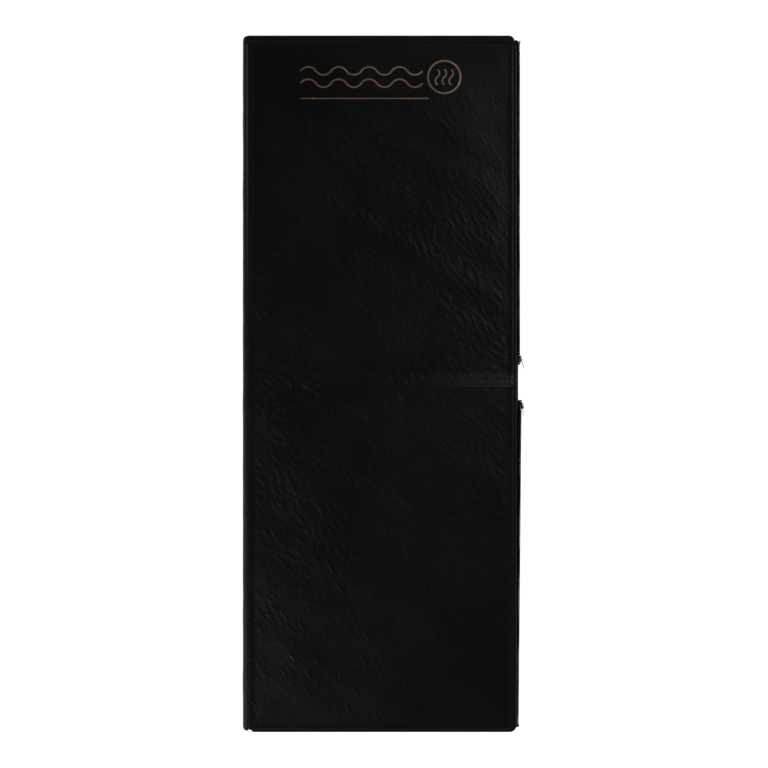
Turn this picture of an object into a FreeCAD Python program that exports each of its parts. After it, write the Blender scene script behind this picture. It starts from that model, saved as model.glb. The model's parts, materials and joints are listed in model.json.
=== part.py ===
import FreeCAD, Part
import math
import os

Vec = FreeCAD.Vector

# A flat infrared sauna blanket that lies closed. X runs across it from the spine to the zip side, Y runs
# along it from the foot end to the neck end, Z points up. Millimetres.

# Panel outline
length = 1800.0
panel_width = 690.7
neck_zip_corner = 16.0
foot_zip_corner = 13.0
foot_spine_corner = 11.0
neck_spine_corner = 3.0
edge_round = 2.5

# Layers of one panel, from the outer skin inwards
skin = 1.0
pad_thickness = 5.6
foil_thickness = 0.2
carrier_thickness = 0.8
heater_space = 3.0
felt_thickness = 1.2
lining = 0.8
layer_margin = 1.0

# Space for the body between the two panels
body_space = 7.2

# Neck hem, its thread, and the piping of the cover
hem_depth = 20.0
stitch_length = 3.2
stitch_pitch = 5.0
stitch_width = 0.8
stitch_proud = 0.3
stitch_from_edge = 3.0
piping_radius = 2.2
piping_drop = 3.2

# Spine
spine_bulge = 12.8
body_clearance = 0.3
spine_end_margin = 5.0
hinge_behind_seam = 9.3

# Heater cords and wiring, all inside the heater space
cord_radius = 1.2
lead_radius = 1.1
cord_lift = 0.1
run_pitch = 45.0
run_end_margin = 90.0
cord_bend = 15.0
lead_inset = 27.0
run_inset = 54.0
far_inset = 36.0
cord_tail = 110.0
cutout_size = (9.0, 26.0, 2.6)
cutout_from_middle = 420.0
sensor_radius = 1.3
sensor_length = 14.0
sensor_wire_radius = 0.7
sensor_inset = 41.0
block_size = (46.9, 24.0, 2.6)
block_inset = 14.1
link_cable = (8.0, 2.4)
cable_slot_clearance = 0.4

# Power inlet in the side wall of the base, inside the hand gap
inlet_outer = (22.0, 20.0)
inlet_floor_gap = 0.8
inlet_roof_gap = 0.4
inlet_proud = 8.0
inlet_mouth = (16.0, 5.4)
inlet_depth = 12.0
inlet_pin_radius = 0.9
inlet_pin_length = 6.5
inlet_pin_pitch = 4.6
inlet_flange = (1.6, 36.0)
inlet_flange_rim = 1.0
inlet_fit = 0.2
screw_radius = 1.4
screw_spacing = 28.0
screw_head = (2.4, 1.2)
screw_depth = 9.0

# Zip: tapes, coils, sliders, pulls
tape = 0.8
tape_bend = 4.0
flange_height = 6.4
flange_reach = 8.7
upper_reach = 11.6
lower_reach = 15.6
lower_foot_reach = 8.0
coil_row = 3.0
coil_thick = 2.6
row_gap = 1.2
tape_edge_gap = 2.0
stop_length = 3.0
slider_length = 20.0
slider_plate = 1.6
slider_flange = 1.2
slider_play = 0.3
tape_play = 0.35
post = (3.0, 0.8)
bridge = (12.0, 3.0, 3.5)
bridge_window = (8.0, 2.0)
pull_length = 26.0
pull_width = 7.0
pull_thick = 1.4
pull_arm = 1.5
pull_arm_reach = 7.2
pull_hole_radius = 1.7
upper_pull_tilt = 17.2
lower_pull_tilt = 2.0
gap_foot_side = -47.0
gap_neck_side = 54.0
slider_end_gap = 2.0
zip_end_inset = 12.0
retainer = 8.0

# Foot closure strips
strip_width = 25.0
strip_thickness = 3.2
strip_inset = 30.0
strip_from_edge = 4.0

# Foil emblem
emblem_from_neck = 108.0
emblem_offset = -2.0
emblem_foil = 0.15
emblem_stroke = 4.6
wave_radius = 24.0
wave_half_angle = 55.0
wave_count = 8
wave_spacing = 32.0
wave_start = -206.0
ring_offset = 165.0
ring_radius = 42.0
ring_wave_radius = 12.0
rule_drop = 57.0
rule_size = (330.0, 3.0)

# Worked out from the values above
panel = skin + pad_thickness + foil_thickness + carrier_thickness + heater_space + felt_thickness + lining
total = 2 * panel + body_space
middle = total / 2
neck = length / 2
foot = -length / 2
foot_wall = foot + 2 * piping_radius
tray_top = panel - lining
pad_top = skin + pad_thickness
foil_top = pad_top + foil_thickness
carrier_top = foil_top + carrier_thickness
heater_top = carrier_top + heater_space
cord_z = carrier_top + cord_radius + cord_lift
cable_z = carrier_top + heater_space / 2
inlet_high = heater_top - inlet_roof_gap - skin - inlet_floor_gap
inlet_middle_z = skin + inlet_floor_gap + inlet_high / 2
panel_middle = panel_width / 2
run_count = 2 * int((neck - run_end_margin) / run_pitch / 2)
pull_axis = coil_thick + slider_play + slider_plate + 1.0
tilt = math.radians(upper_pull_tilt)
pull_tip = pull_length * math.sin(tilt) + pull_thick / 2 * math.cos(tilt)
zip_side_end = panel_width + upper_reach + pull_axis + pull_tip
shift = Vec((spine_bulge - zip_side_end) / 2, 0, 0)
upper_rest = gap_neck_side + slider_length / 2
lower_rest = gap_foot_side - slider_length / 2
zip_neck_end = neck - zip_end_inset
zip_foot_end = foot + zip_end_inset
parked = zip_neck_end - retainer - slider_end_gap - slider_length / 2
lower_slant = math.degrees(math.atan((lower_reach - lower_foot_reach) / (gap_foot_side - zip_foot_end)))


def box(x0, x1, y0, y1, z0, z1):
    return Part.makeBox(x1 - x0, y1 - y0, z1 - z0, Vec(x0, y0, z0))


def flip(shape):
    # The cover is the base turned over about the middle of the blanket's thickness.
    return shape.mirror(Vec(0, 0, middle), Vec(0, 0, 1))


def swap_sides(shape):
    return shape.mirror(Vec(panel_middle, 0, 0), Vec(1, 0, 0))


def rounded_outline(x0, x1, y0, y1, radii, z):
    # Radii run foot spine, foot zip, neck zip, neck spine.
    corners = [(x0, y0, 1, 1), (x1, y0, -1, 1), (x1, y1, -1, -1), (x0, y1, 1, -1)]
    ends = []
    for index, (x, y, sx, sy) in enumerate(corners):
        r = radii[index]
        across = Vec(x + sx * r, y, z)
        along = Vec(x, y + sy * r, z)
        bulge = r * (1 - math.sqrt(0.5))
        mid = Vec(x + sx * bulge, y + sy * bulge, z)
        ends.append((along, mid, across) if index % 2 == 0 else (across, mid, along))
    edges = []
    for index, (first, mid, last) in enumerate(ends):
        edges.append(Part.Arc(first, mid, last).toShape())
        edges.append(Part.makeLine(last, ends[(index + 1) % 4][0]))
    return Part.Face(Part.Wire(edges))


def slab(inset, z0, z1):
    radii = []
    for corner in (foot_spine_corner, foot_zip_corner, neck_zip_corner, neck_spine_corner):
        radii.append(max(corner - inset, 0.5))
    face = rounded_outline(inset, panel_width - inset, foot_wall + inset, neck - inset, radii, z0)
    return face.extrude(Vec(0, 0, z1 - z0))


def closed_skin():
    outer = slab(0, 0, panel)
    rim = [edge for edge in outer.Edges if edge.BoundBox.ZMax < 0.01]
    outer = outer.makeFillet(min(edge_round, neck_spine_corner - 0.2), rim)
    return outer.cut(slab(skin, skin, tray_top))


def neck_part(z0, z1):
    return box(-1, panel_width + 1, neck - hem_depth, neck + 1, z0, z1)


def outer_shell(openings):
    shell = closed_skin().cut(neck_part(-1, panel + 1))
    shell = shell.common(box(-1, panel_width + 1, foot - 1, neck + 1, -1, tray_top))
    for opening in openings:
        shell = shell.cut(opening)
    return shell


def inner_lining():
    return slab(0, tray_top, panel).cut(neck_part(-1, panel + 1))


def neck_hem():
    return closed_skin().common(neck_part(-1, panel + 1))


def layer(z0, z1, pocket=None):
    sheet = slab(skin + layer_margin, z0, z1)
    if pocket:
        sheet = sheet.cut(pocket)
    return sheet


def rounded_path(points, radius):
    # Straight runs joined by tangent arcs.
    edges = []
    start = points[0]
    for index in range(1, len(points) - 1):
        corner = points[index]
        back = (points[index - 1] - corner).normalize()
        ahead = (points[index + 1] - corner).normalize()
        first = corner + back * radius
        last = corner + ahead * radius
        mid = corner + (back + ahead) * radius * (1 - math.sqrt(0.5))
        edges.append(Part.makeLine(start, first))
        edges.append(Part.Arc(first, mid, last).toShape())
        start = last
    edges.append(Part.makeLine(start, points[-1]))
    return Part.Wire(edges)


def cord(points, cord_r, bend):
    path = rounded_path(points, bend)
    direction = (points[1] - points[0]).normalize()
    profile = Part.Wire(Part.makeCircle(cord_r, points[0], direction))
    return path.makePipeShell([profile], True, False)


def heater(side):
    # side is 1 for the neck half and -1 for the foot half.
    near_x = panel_width - run_inset
    lead_x = panel_width - lead_inset
    points = [Vec(near_x, side * block_size[1] / 2, cord_z)]
    for run in range(run_count):
        y = side * run_pitch * (run + 1)
        ends = [near_x, far_inset] if run % 2 == 0 else [far_inset, near_x]
        if run == run_count - 1:
            ends[1] = lead_x
        points += [Vec(x, y, cord_z) for x in ends]
    points.append(points[-1] - Vec(0, side * cord_tail, 0))
    return cord(points, cord_radius, cord_bend)


def cutouts():
    x_size, y_size, z_size = cutout_size
    lead_x = panel_width - lead_inset
    solids = []
    for side in (1, -1):
        y = side * cutout_from_middle
        body = box(lead_x - x_size / 2, lead_x + x_size / 2, y - y_size / 2, y + y_size / 2,
                   carrier_top, carrier_top + z_size)
        upright = [edge for edge in body.Edges if edge.BoundBox.ZLength > z_size - 0.01]
        solids.append(body.makeFillet(2.0, upright))
    return Part.makeCompound(solids)


def power_leads():
    lead_x = panel_width - lead_inset
    far_y = run_pitch * run_count - cord_tail
    spans = [(block_size[1] / 2, cutout_from_middle - cutout_size[1] / 2),
             (cutout_from_middle + cutout_size[1] / 2, far_y)]
    solids = []
    for side in (1, -1):
        for near_y, end_y in spans:
            base = Vec(lead_x, side * near_y, cord_z)
            solids.append(Part.makeCylinder(lead_radius, end_y - near_y, base, Vec(0, side, 0)))
    return Part.makeCompound(solids)


def temperature_sensor():
    # A bead between the first two runs of the neck half, with its wire to the junction block.
    wire_x = panel_width - sensor_inset
    y = run_pitch * 1.5
    points = [Vec(wire_x, block_size[1] / 2, cord_z), Vec(wire_x, y, cord_z), Vec(panel_middle, y, cord_z)]
    wire = cord(points, sensor_wire_radius, cord_bend / 2)
    bead_at = Vec(panel_middle + sensor_length / 2, y, cord_z)
    bead = Part.makeCylinder(sensor_radius, sensor_length, bead_at, Vec(-1, 0, 0))
    return wire.fuse(bead)


def junction_block():
    x1 = panel_width - block_inset
    x0 = x1 - block_size[0]
    half = block_size[1] / 2
    return box(x0, x1, -half, half, carrier_top, carrier_top + block_size[2])


def cable_run(x0, x1):
    wide, high = link_cable
    return box(x0, x1, -wide / 2, wide / 2, cable_z - high / 2, cable_z + high / 2)


def cable_slot():
    wide, high = link_cable
    room = cable_slot_clearance
    return box(-1, skin + 1, -wide / 2 - room, wide / 2 + room, cable_z - high / 2 - room,
               cable_z + high / 2 + room)


def c_section(bulge, half_height, thick, y0, y1):
    # A strip bent round the spine: two quarter bends and a straight between them, open towards +X.
    def arc(radius, way):
        centre = Vec(0, y0, middle + way * (half_height - bulge))
        turn = math.sqrt(0.5) * radius
        top = centre + Vec(0, 0, way * radius)
        mid = centre + Vec(-turn, 0, way * turn)
        side = centre + Vec(-radius, 0, 0)
        return top, mid, side
    low_out = arc(bulge, -1)
    high_out = arc(bulge, 1)
    low_in = arc(bulge - thick, -1)
    high_in = arc(bulge - thick, 1)
    edges = [Part.Arc(*low_out).toShape()]
    if half_height > bulge:
        edges.append(Part.makeLine(low_out[2], high_out[2]))
    edges.append(Part.Arc(high_out[2], high_out[1], high_out[0]).toShape())
    edges.append(Part.makeLine(high_out[0], high_in[0]))
    edges.append(Part.Arc(*high_in).toShape())
    if half_height > bulge:
        edges.append(Part.makeLine(high_in[2], low_in[2]))
    edges.append(Part.Arc(low_in[2], low_in[1], low_in[0]).toShape())
    edges.append(Part.makeLine(low_in[0], low_out[0]))
    solid = Part.Face(Part.Wire(edges)).extrude(Vec(0, y1 - y0, 0))
    return solid.cut(box(-body_clearance, 1, y0 - 1, y1 + 1, middle, total + 1))


def spine_strip():
    return c_section(spine_bulge, middle, skin, foot_wall + spine_end_margin, neck - spine_end_margin)


def spine_lining():
    outer = middle - tray_top
    return c_section(outer, outer, lining, foot_wall + spine_end_margin, neck - spine_end_margin)


def spine_cable_loop():
    wide, high = link_cable
    outer = middle - cable_z + high / 2
    return c_section(outer, outer, high, -wide / 2, wide / 2)


def piping():
    z = total - piping_drop
    x = panel_width + piping_radius
    y = foot + piping_radius
    bend = foot_zip_corner + piping_radius
    points = [Vec(x, neck - neck_zip_corner, z), Vec(x, y, z), Vec(foot_spine_corner, y, z)]
    return cord(points, piping_radius, bend)


def flange(y0, y1, thick=tape, reach=flange_reach):
    return box(panel_width, panel_width + reach, y0, y1, flange_height, flange_height + thick)


def reach_at(side, y):
    # How far the tape's outer face stands from the wall: the lower zip comes in towards the foot end.
    if side > 0:
        return upper_reach
    share = (y - gap_foot_side) / (zip_foot_end - gap_foot_side)
    return lower_reach + (lower_foot_reach - lower_reach) * share


def tape_profile(side, y0):
    # Sewn flat to the wall, then bent up round a quarter circle to the coil.
    out = panel_width + reach_at(side, y0)
    low = flange_height
    centre = Vec(out - tape_bend, y0, low + tape_bend)
    edge_top = middle - tape_edge_gap / 2

    def quarter(radius):
        turn = math.sqrt(0.5) * radius
        return centre + Vec(0, 0, -radius), centre + Vec(turn, 0, -turn), centre + Vec(radius, 0, 0)
    outer = quarter(tape_bend)
    inner = quarter(tape_bend - tape)
    corners_out = [Vec(panel_width, y0, low), outer[0]]
    corners_top = [outer[2], Vec(out, y0, edge_top), Vec(out - tape, y0, edge_top), inner[2]]
    corners_in = [inner[0], Vec(panel_width, y0, low + tape), Vec(panel_width, y0, low)]
    edges = Part.makePolygon(corners_out).Edges
    edges.append(Part.Arc(*outer).toShape())
    edges += Part.makePolygon(corners_top).Edges
    edges.append(Part.Arc(inner[2], inner[1], inner[0]).toShape())
    edges += Part.makePolygon(corners_in).Edges
    return Part.Wire(edges)


def zip_tape(side, y0, y1):
    return Part.makeLoft([tape_profile(side, y0), tape_profile(side, y1)], True, True)


def on_tape(side, y0, y1, thick=coil_thick):
    # A bar of the coil's height that stands on the base's tape.
    top = middle - row_gap / 2
    ends = []
    for y in (y0, y1):
        x = panel_width + reach_at(side, y)
        corners = [Vec(x, y, top - coil_row), Vec(x + thick, y, top - coil_row), Vec(x + thick, y, top)]
        corners.append(Vec(x, y, top))
        ends.append(Part.makePolygon(corners + corners[:1]))
    return Part.makeLoft(ends, True, True)


def ordered(side, near, far):
    return (near, far) if side > 0 else (far, near)


def base_coil(side, gap_edge, far):
    return on_tape(side, *ordered(side, gap_edge - side * slider_end_gap, far))


def cover_coil_ends(side, rest):
    near = rest + side * (slider_length / 2 + slider_end_gap)
    far = side * (parked - slider_length / 2 - slider_end_gap)
    return near, far


def cover_coil(side, rest):
    near, far = cover_coil_ends(side, rest)
    return flip(on_tape(side, *ordered(side, near + side * stop_length, far - side * stop_length)))


def cover_tape(side, rest):
    near, far = cover_coil_ends(side, rest)
    bent = zip_tape(side, *ordered(side, near, far))
    end_reach = min(flange_reach, reach_at(side, far) - tape_bend)
    flat = flange(*ordered(side, far, side * zip_neck_end), reach=end_reach)
    return flip(bent.fuse(flat).removeSplitter())


def base_stops():
    solids = []
    for side, gap_edge in ((1, gap_neck_side), (-1, gap_foot_side)):
        near = gap_edge - side * slider_end_gap
        solids.append(on_tape(side, *ordered(side, near - side * stop_length, near), coil_thick + 0.6))
        far = side * zip_neck_end
        solids.append(on_tape(side, *ordered(side, far - side * retainer, far), coil_thick + 0.8))
    return Part.makeCompound(solids)


def cover_stops():
    solids = []
    for side, rest in ((1, upper_rest), (-1, lower_rest)):
        near, far = cover_coil_ends(side, rest)
        solids.append(flip(on_tape(side, *ordered(side, near, near + side * stop_length))))
        solids.append(flip(on_tape(side, *ordered(side, far - side * stop_length, far))))
    return Part.makeCompound(solids)


def zip_place(side, rest):
    return Vec(panel_width + reach_at(side, rest), rest, middle)


def zip_turn(side):
    return 0 if side > 0 else -lower_slant


def slider(side, rest):
    # X is measured from the tape's outer face, Z from the middle of the zip.
    half_length = slider_length / 2
    channel = row_gap / 2 + coil_row + slider_play
    half_width = channel + slider_flange
    under = coil_thick + slider_play
    top = under + slider_plate
    inner_face = -tape - tape_play
    inner_back = inner_face - slider_plate
    outer_plate = box(under, top, -half_length, half_length, -half_width, half_width)
    inner_plate = box(inner_back, inner_face, -half_length, half_length, -half_width, half_width)
    pieces = []
    for plate in (outer_plate, inner_plate):
        rim = [edge for edge in plate.Edges if edge.BoundBox.XLength > slider_plate - 0.01]
        pieces.append(plate.makeFillet(2.2, rim))
    for way in (-1, 1):
        z0, z1 = sorted((way * channel, way * half_width))
        pieces.append(box(tape_play, under, -half_length + 2.5, half_length - 2.5, z0, z1))
    nose = -half_length + 1.0
    pieces.append(box(inner_face, under, nose, nose + post[0], -post[1] / 2, post[1] / 2))
    arch = box(top, top + bridge[2], -bridge[0] / 2, bridge[0] / 2, -bridge[1] / 2, bridge[1] / 2)
    high = [edge for edge in arch.Edges if edge.BoundBox.XMin > top + 1 and edge.BoundBox.YLength < 1]
    arch = arch.makeFillet(1.4, high)
    window = box(top - 0.01, top + bridge_window[1], -bridge_window[0] / 2, bridge_window[0] / 2,
                 -bridge[1], bridge[1])
    pieces.append(arch.cut(window))
    body = pieces[0].multiFuse(pieces[1:]).removeSplitter()
    if side < 0:
        body = body.mirror(Vec(0, 0, 0), Vec(0, 1, 0))
    body.rotate(Vec(0, 0, 0), Vec(0, 0, 1), zip_turn(side))
    body.translate(zip_place(side, rest))
    return body


def pull(side, rest, tilt_degrees):
    # The crossbar turns under the slider's bridge; the tab points towards -Y, tilted outwards.
    half = pull_width / 2
    thick = pull_thick / 2
    tab = box(-thick, thick, -pull_length, -pull_arm_reach, -half, half)
    ends = [edge for edge in tab.Edges if edge.BoundBox.XLength > pull_thick - 0.01
            and edge.BoundBox.YMax < -pull_arm_reach - 1]
    tab = tab.makeFillet(2.6, ends)
    hole_at = Vec(-1, -pull_length + 2 * pull_hole_radius + 0.8, 0)
    tab = tab.cut(Part.makeCylinder(pull_hole_radius, 2, hole_at, Vec(1, 0, 0)))
    pieces = [Part.makeCylinder(thick, pull_width, Vec(0, 0, -half))]
    for z0 in (-half, half - pull_arm):
        pieces.append(box(-thick, thick, -pull_arm_reach, 0, z0, z0 + pull_arm))
    shape = tab.multiFuse(pieces).removeSplitter()
    shape.rotate(Vec(0, 0, 0), Vec(0, 0, 1), tilt_degrees)
    shape.translate(Vec(pull_axis, 0, 0))
    shape.rotate(Vec(0, 0, 0), Vec(0, 0, 1), zip_turn(side))
    shape.translate(zip_place(side, rest))
    return shape


def inlet_box(grow):
    x_size, y_size = inlet_outer
    x1 = panel_width + inlet_proud
    return box(x1 - x_size - grow, x1, -y_size / 2 - grow, y_size / 2 + grow,
               inlet_middle_z - inlet_high / 2 - grow, inlet_middle_z + inlet_high / 2 + grow)


def inlet_housing():
    x1 = panel_width + inlet_proud
    wide, high = inlet_mouth
    mouth = box(x1 - inlet_depth, x1 + 1, -wide / 2, wide / 2, inlet_middle_z - high / 2,
                inlet_middle_z + high / 2)
    return inlet_box(0).cut(mouth)


def inlet_pins():
    x0 = panel_width + inlet_proud - inlet_depth
    solids = []
    for place in (-1, 0, 1):
        at = Vec(x0, place * inlet_pin_pitch, inlet_middle_z)
        shaft = Part.makeCylinder(inlet_pin_radius, inlet_pin_length, at, Vec(1, 0, 0))
        solids.append(shaft.makeChamfer(0.3, [shaft.Edges[0]]))
    return Part.makeCompound(solids)


def screw_places():
    return [Vec(panel_width, way * screw_spacing / 2, inlet_middle_z) for way in (-1, 1)]


def inlet_flange_plate():
    thick, wide = inlet_flange
    half = inlet_high / 2 + inlet_flange_rim
    plate = box(panel_width, panel_width + thick, -wide / 2, wide / 2, inlet_middle_z - half,
                inlet_middle_z + half)
    rim = [edge for edge in plate.Edges if edge.BoundBox.XLength > thick - 0.01]
    plate = plate.makeFillet(3.0, rim)
    plate = plate.cut(inlet_box(inlet_fit))
    for place in screw_places():
        plate = plate.cut(Part.makeCylinder(screw_radius, 40, place - Vec(20, 0, 0), Vec(1, 0, 0)))
    return plate


def inlet_screws():
    solids = []
    for place in screw_places():
        start = place - Vec(screw_depth, 0, 0)
        shaft = Part.makeCylinder(screw_radius, screw_depth + inlet_flange[0], start, Vec(1, 0, 0))
        head_at = place + Vec(inlet_flange[0], 0, 0)
        head = Part.makeCylinder(screw_head[0], screw_head[1], head_at, Vec(1, 0, 0))
        solids.append(shaft.fuse(head).removeSplitter())
    return Part.makeCompound(solids)


def inlet_wall_holes():
    holes = [inlet_box(inlet_fit)]
    for place in screw_places():
        start = place - Vec(screw_depth, 0, 0)
        holes.append(Part.makeCylinder(screw_radius, screw_depth + 1, start, Vec(1, 0, 0)))
    return holes


def inlet_pocket():
    # Room in the layers behind the wall for the inlet and its screws.
    wide = screw_spacing / 2 + screw_head[0] + 1
    x0 = panel_width + inlet_proud - inlet_outer[0] - layer_margin
    return box(x0, panel_width + 1, -wide, wide, -1, carrier_top + 0.5)


def gap_binding():
    # The base's bound edge beside the inlet, in two lengths.
    clear = inlet_flange[1] / 2 + 2
    pieces = []
    for y0, y1 in ((gap_foot_side + slider_end_gap + stop_length, -clear),
                   (clear, gap_neck_side - slider_end_gap - stop_length)):
        pieces.append(flange(y0, y1, 2 * tape))
    return Part.makeCompound(pieces)


def cover_gap_binding():
    near_upper, _ = cover_coil_ends(1, upper_rest)
    near_lower, _ = cover_coil_ends(-1, lower_rest)
    return flip(flange(near_lower, near_upper, 2 * tape))


def foot_strip():
    y0 = foot_wall + strip_from_edge
    return box(strip_inset, panel_width - strip_inset, y0, y0 + strip_width, panel, panel + strip_thickness)


def hem_thread():
    y = neck - hem_depth + stitch_from_edge
    first = neck_spine_corner + stitch_pitch
    count = int((panel_width - neck_zip_corner - 2 * first) / stitch_pitch)
    solids = []
    for index in range(count):
        x = first + index * stitch_pitch
        stitch = box(x, x + stitch_length, y, y + stitch_width, total, total + stitch_proud)
        solids.append(stitch)
    return Part.makeCompound(solids)


def ring_sector(centre, radius, stroke, start_degrees, sweep_degrees):
    outer = Part.makeCylinder(radius + stroke / 2, emblem_foil, centre, Vec(0, 0, 1), sweep_degrees)
    hole = Part.makeCylinder(radius - stroke / 2, emblem_foil, centre)
    sector = outer.cut(hole)
    sector.rotate(centre, Vec(0, 0, 1), start_degrees)
    return sector


def wave(start, count, radius, stroke):
    # Tangent arcs that swing to one side and the other, running along +X.
    half = math.radians(wave_half_angle)
    chord = 2 * radius * math.sin(half)
    rise = radius * math.cos(half)
    sectors = []
    for index in range(count):
        way = 1 if index % 2 == 0 else -1
        centre = start + Vec((index + 0.5) * chord, -way * rise, 0)
        first = 90 * way - wave_half_angle
        sectors.append(ring_sector(centre, radius, stroke, first, 2 * wave_half_angle))
    return sectors[0].multiFuse(sectors[1:]).removeSplitter()


def emblem():
    # Heat waves over a thin rule, and a ring round three upright waves.
    centre = Vec(panel_middle + emblem_offset, neck - emblem_from_neck, total)
    solids = []
    for way in (-1, 1):
        start = centre + Vec(wave_start, way * wave_spacing / 2, 0)
        solids.append(wave(start, wave_count, wave_radius, emblem_stroke))
    rule_x = centre.x + wave_start
    rule_y = centre.y - rule_drop
    solids.append(box(rule_x, rule_x + rule_size[0], rule_y, rule_y + rule_size[1], total,
                      total + emblem_foil))
    ring_at = centre + Vec(ring_offset, 0, 0)
    solids.append(ring_sector(ring_at, ring_radius, emblem_stroke, 0, 360))
    chord = 2 * ring_wave_radius * math.sin(math.radians(wave_half_angle))
    for place in (-1, 0, 1):
        upright = wave(Vec(-chord, 0, 0), 2, ring_wave_radius, emblem_stroke * 0.8)
        upright.rotate(Vec(0, 0, 0), Vec(0, 0, 1), 90)
        upright.translate(ring_at + Vec(place * ring_radius * 0.42, 0, 0))
        solids.append(upright)
    return Part.makeCompound(solids)


def base_nodes():
    pocket = inlet_pocket()
    block_end = panel_width - block_inset - block_size[0]
    return {
        "base_outer_shell": outer_shell(inlet_wall_holes() + [cable_slot()]),
        "base_insulation_pad": layer(skin, pad_top, pocket),
        "base_reflective_foil": layer(pad_top, foil_top, pocket),
        "base_heater_carrier": layer(foil_top, carrier_top, pocket),
        "base_upper_heater_cord": heater(1),
        "base_lower_heater_cord": heater(-1),
        "base_heat_felt": layer(heater_top, tray_top),
        "base_inner_lining": inner_lining(),
        "base_neck_hem": neck_hem(),
        "base_thermal_cutouts": cutouts(),
        "base_power_leads": power_leads(),
        "base_temperature_sensor": temperature_sensor(),
        "base_junction_block": junction_block(),
        "base_link_cable": cable_run(0, block_end),
        "base_upper_zip_tape": zip_tape(1, gap_neck_side - slider_end_gap - stop_length, zip_neck_end),
        "base_lower_zip_tape": zip_tape(-1, zip_foot_end, gap_foot_side + slider_end_gap + stop_length),
        "base_upper_zip_coil": base_coil(1, gap_neck_side, zip_neck_end - retainer),
        "base_lower_zip_coil": base_coil(-1, gap_foot_side, zip_foot_end + retainer),
        "base_zip_stops": base_stops(),
        "base_gap_binding": gap_binding(),
        "foot_hook_strip": foot_strip(),
        "inlet_housing": inlet_housing(),
        "inlet_flange": inlet_flange_plate(),
        "inlet_contact_pins": inlet_pins(),
        "inlet_screws": inlet_screws(),
    }


def cover_nodes():
    block_end = panel_width - block_inset - block_size[0]
    cover_cable = swap_sides(cable_run(panel_width - block_inset, panel_width))
    mirrored = {
        "cover_outer_shell": outer_shell([cable_slot()]),
        "cover_insulation_pad": layer(skin, pad_top),
        "cover_reflective_foil": layer(pad_top, foil_top),
        "cover_heater_carrier": layer(foil_top, carrier_top),
        "cover_upper_heater_cord": swap_sides(heater(1)),
        "cover_lower_heater_cord": swap_sides(heater(-1)),
        "cover_heat_felt": layer(heater_top, tray_top),
        "cover_inner_lining": inner_lining(),
        "cover_neck_hem": neck_hem(),
        "cover_thermal_cutouts": swap_sides(cutouts()),
        "cover_power_leads": swap_sides(power_leads()),
        "cover_temperature_sensor": swap_sides(temperature_sensor()),
        "cover_junction_block": swap_sides(junction_block()),
        "cover_link_cable": cover_cable,
        "foot_loop_strip": foot_strip(),
    }
    nodes = {name: flip(shape) for name, shape in mirrored.items()}
    nodes["cover_edge_piping"] = piping()
    nodes["cover_hem_thread"] = hem_thread()
    nodes["cover_foil_emblem"] = emblem()
    nodes["cover_upper_zip_tape"] = cover_tape(1, upper_rest)
    nodes["cover_lower_zip_tape"] = cover_tape(-1, lower_rest)
    nodes["cover_upper_zip_coil"] = cover_coil(1, upper_rest)
    nodes["cover_lower_zip_coil"] = cover_coil(-1, lower_rest)
    nodes["cover_zip_stops"] = cover_stops()
    nodes["cover_gap_binding"] = cover_gap_binding()
    return nodes


def joining_nodes():
    return {
        "spine_strip": spine_strip(),
        "spine_lining_strip": spine_lining(),
        "spine_cable_loop": spine_cable_loop(),
        "upper_slider": slider(1, upper_rest),
        "upper_slider_pull": pull(1, upper_rest, upper_pull_tilt),
        "lower_slider": slider(-1, lower_rest),
        "lower_slider_pull": pull(-1, lower_rest, lower_pull_tilt),
    }


def export(nodes):
    for name, shape in nodes.items():
        placed = shape.copy()
        placed.translate(shift)
        placed.exportStep(os.path.join("parts", name + ".step"))


def say_places():
    print("thickness", round(total, 2), "shift", round(shift.x, 3))
    print("cover hinge x", round(shift.x - hinge_behind_seam, 3), "z", round(middle, 3))
    for name, side, rest in (("upper", 1, upper_rest), ("lower", -1, lower_rest)):
        turn = math.radians(zip_turn(side))
        pin = shift + zip_place(side, rest) + Vec(math.cos(turn), math.sin(turn), 0) * pull_axis
        way = Vec(-side * math.sin(turn), side * math.cos(turn), 0)
        travel = (parked - abs(rest)) / math.cos(turn)
        print(name, "pull axis", pin, "slide way", way, "travel", round(travel, 2))


os.makedirs("parts", exist_ok=True)
export(base_nodes())
export(cover_nodes())
export(joining_nodes())
say_places()
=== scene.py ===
import json
import math

import bmesh
import bpy
import numpy as np
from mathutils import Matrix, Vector
from mathutils.bvhtree import BVHTree

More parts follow.
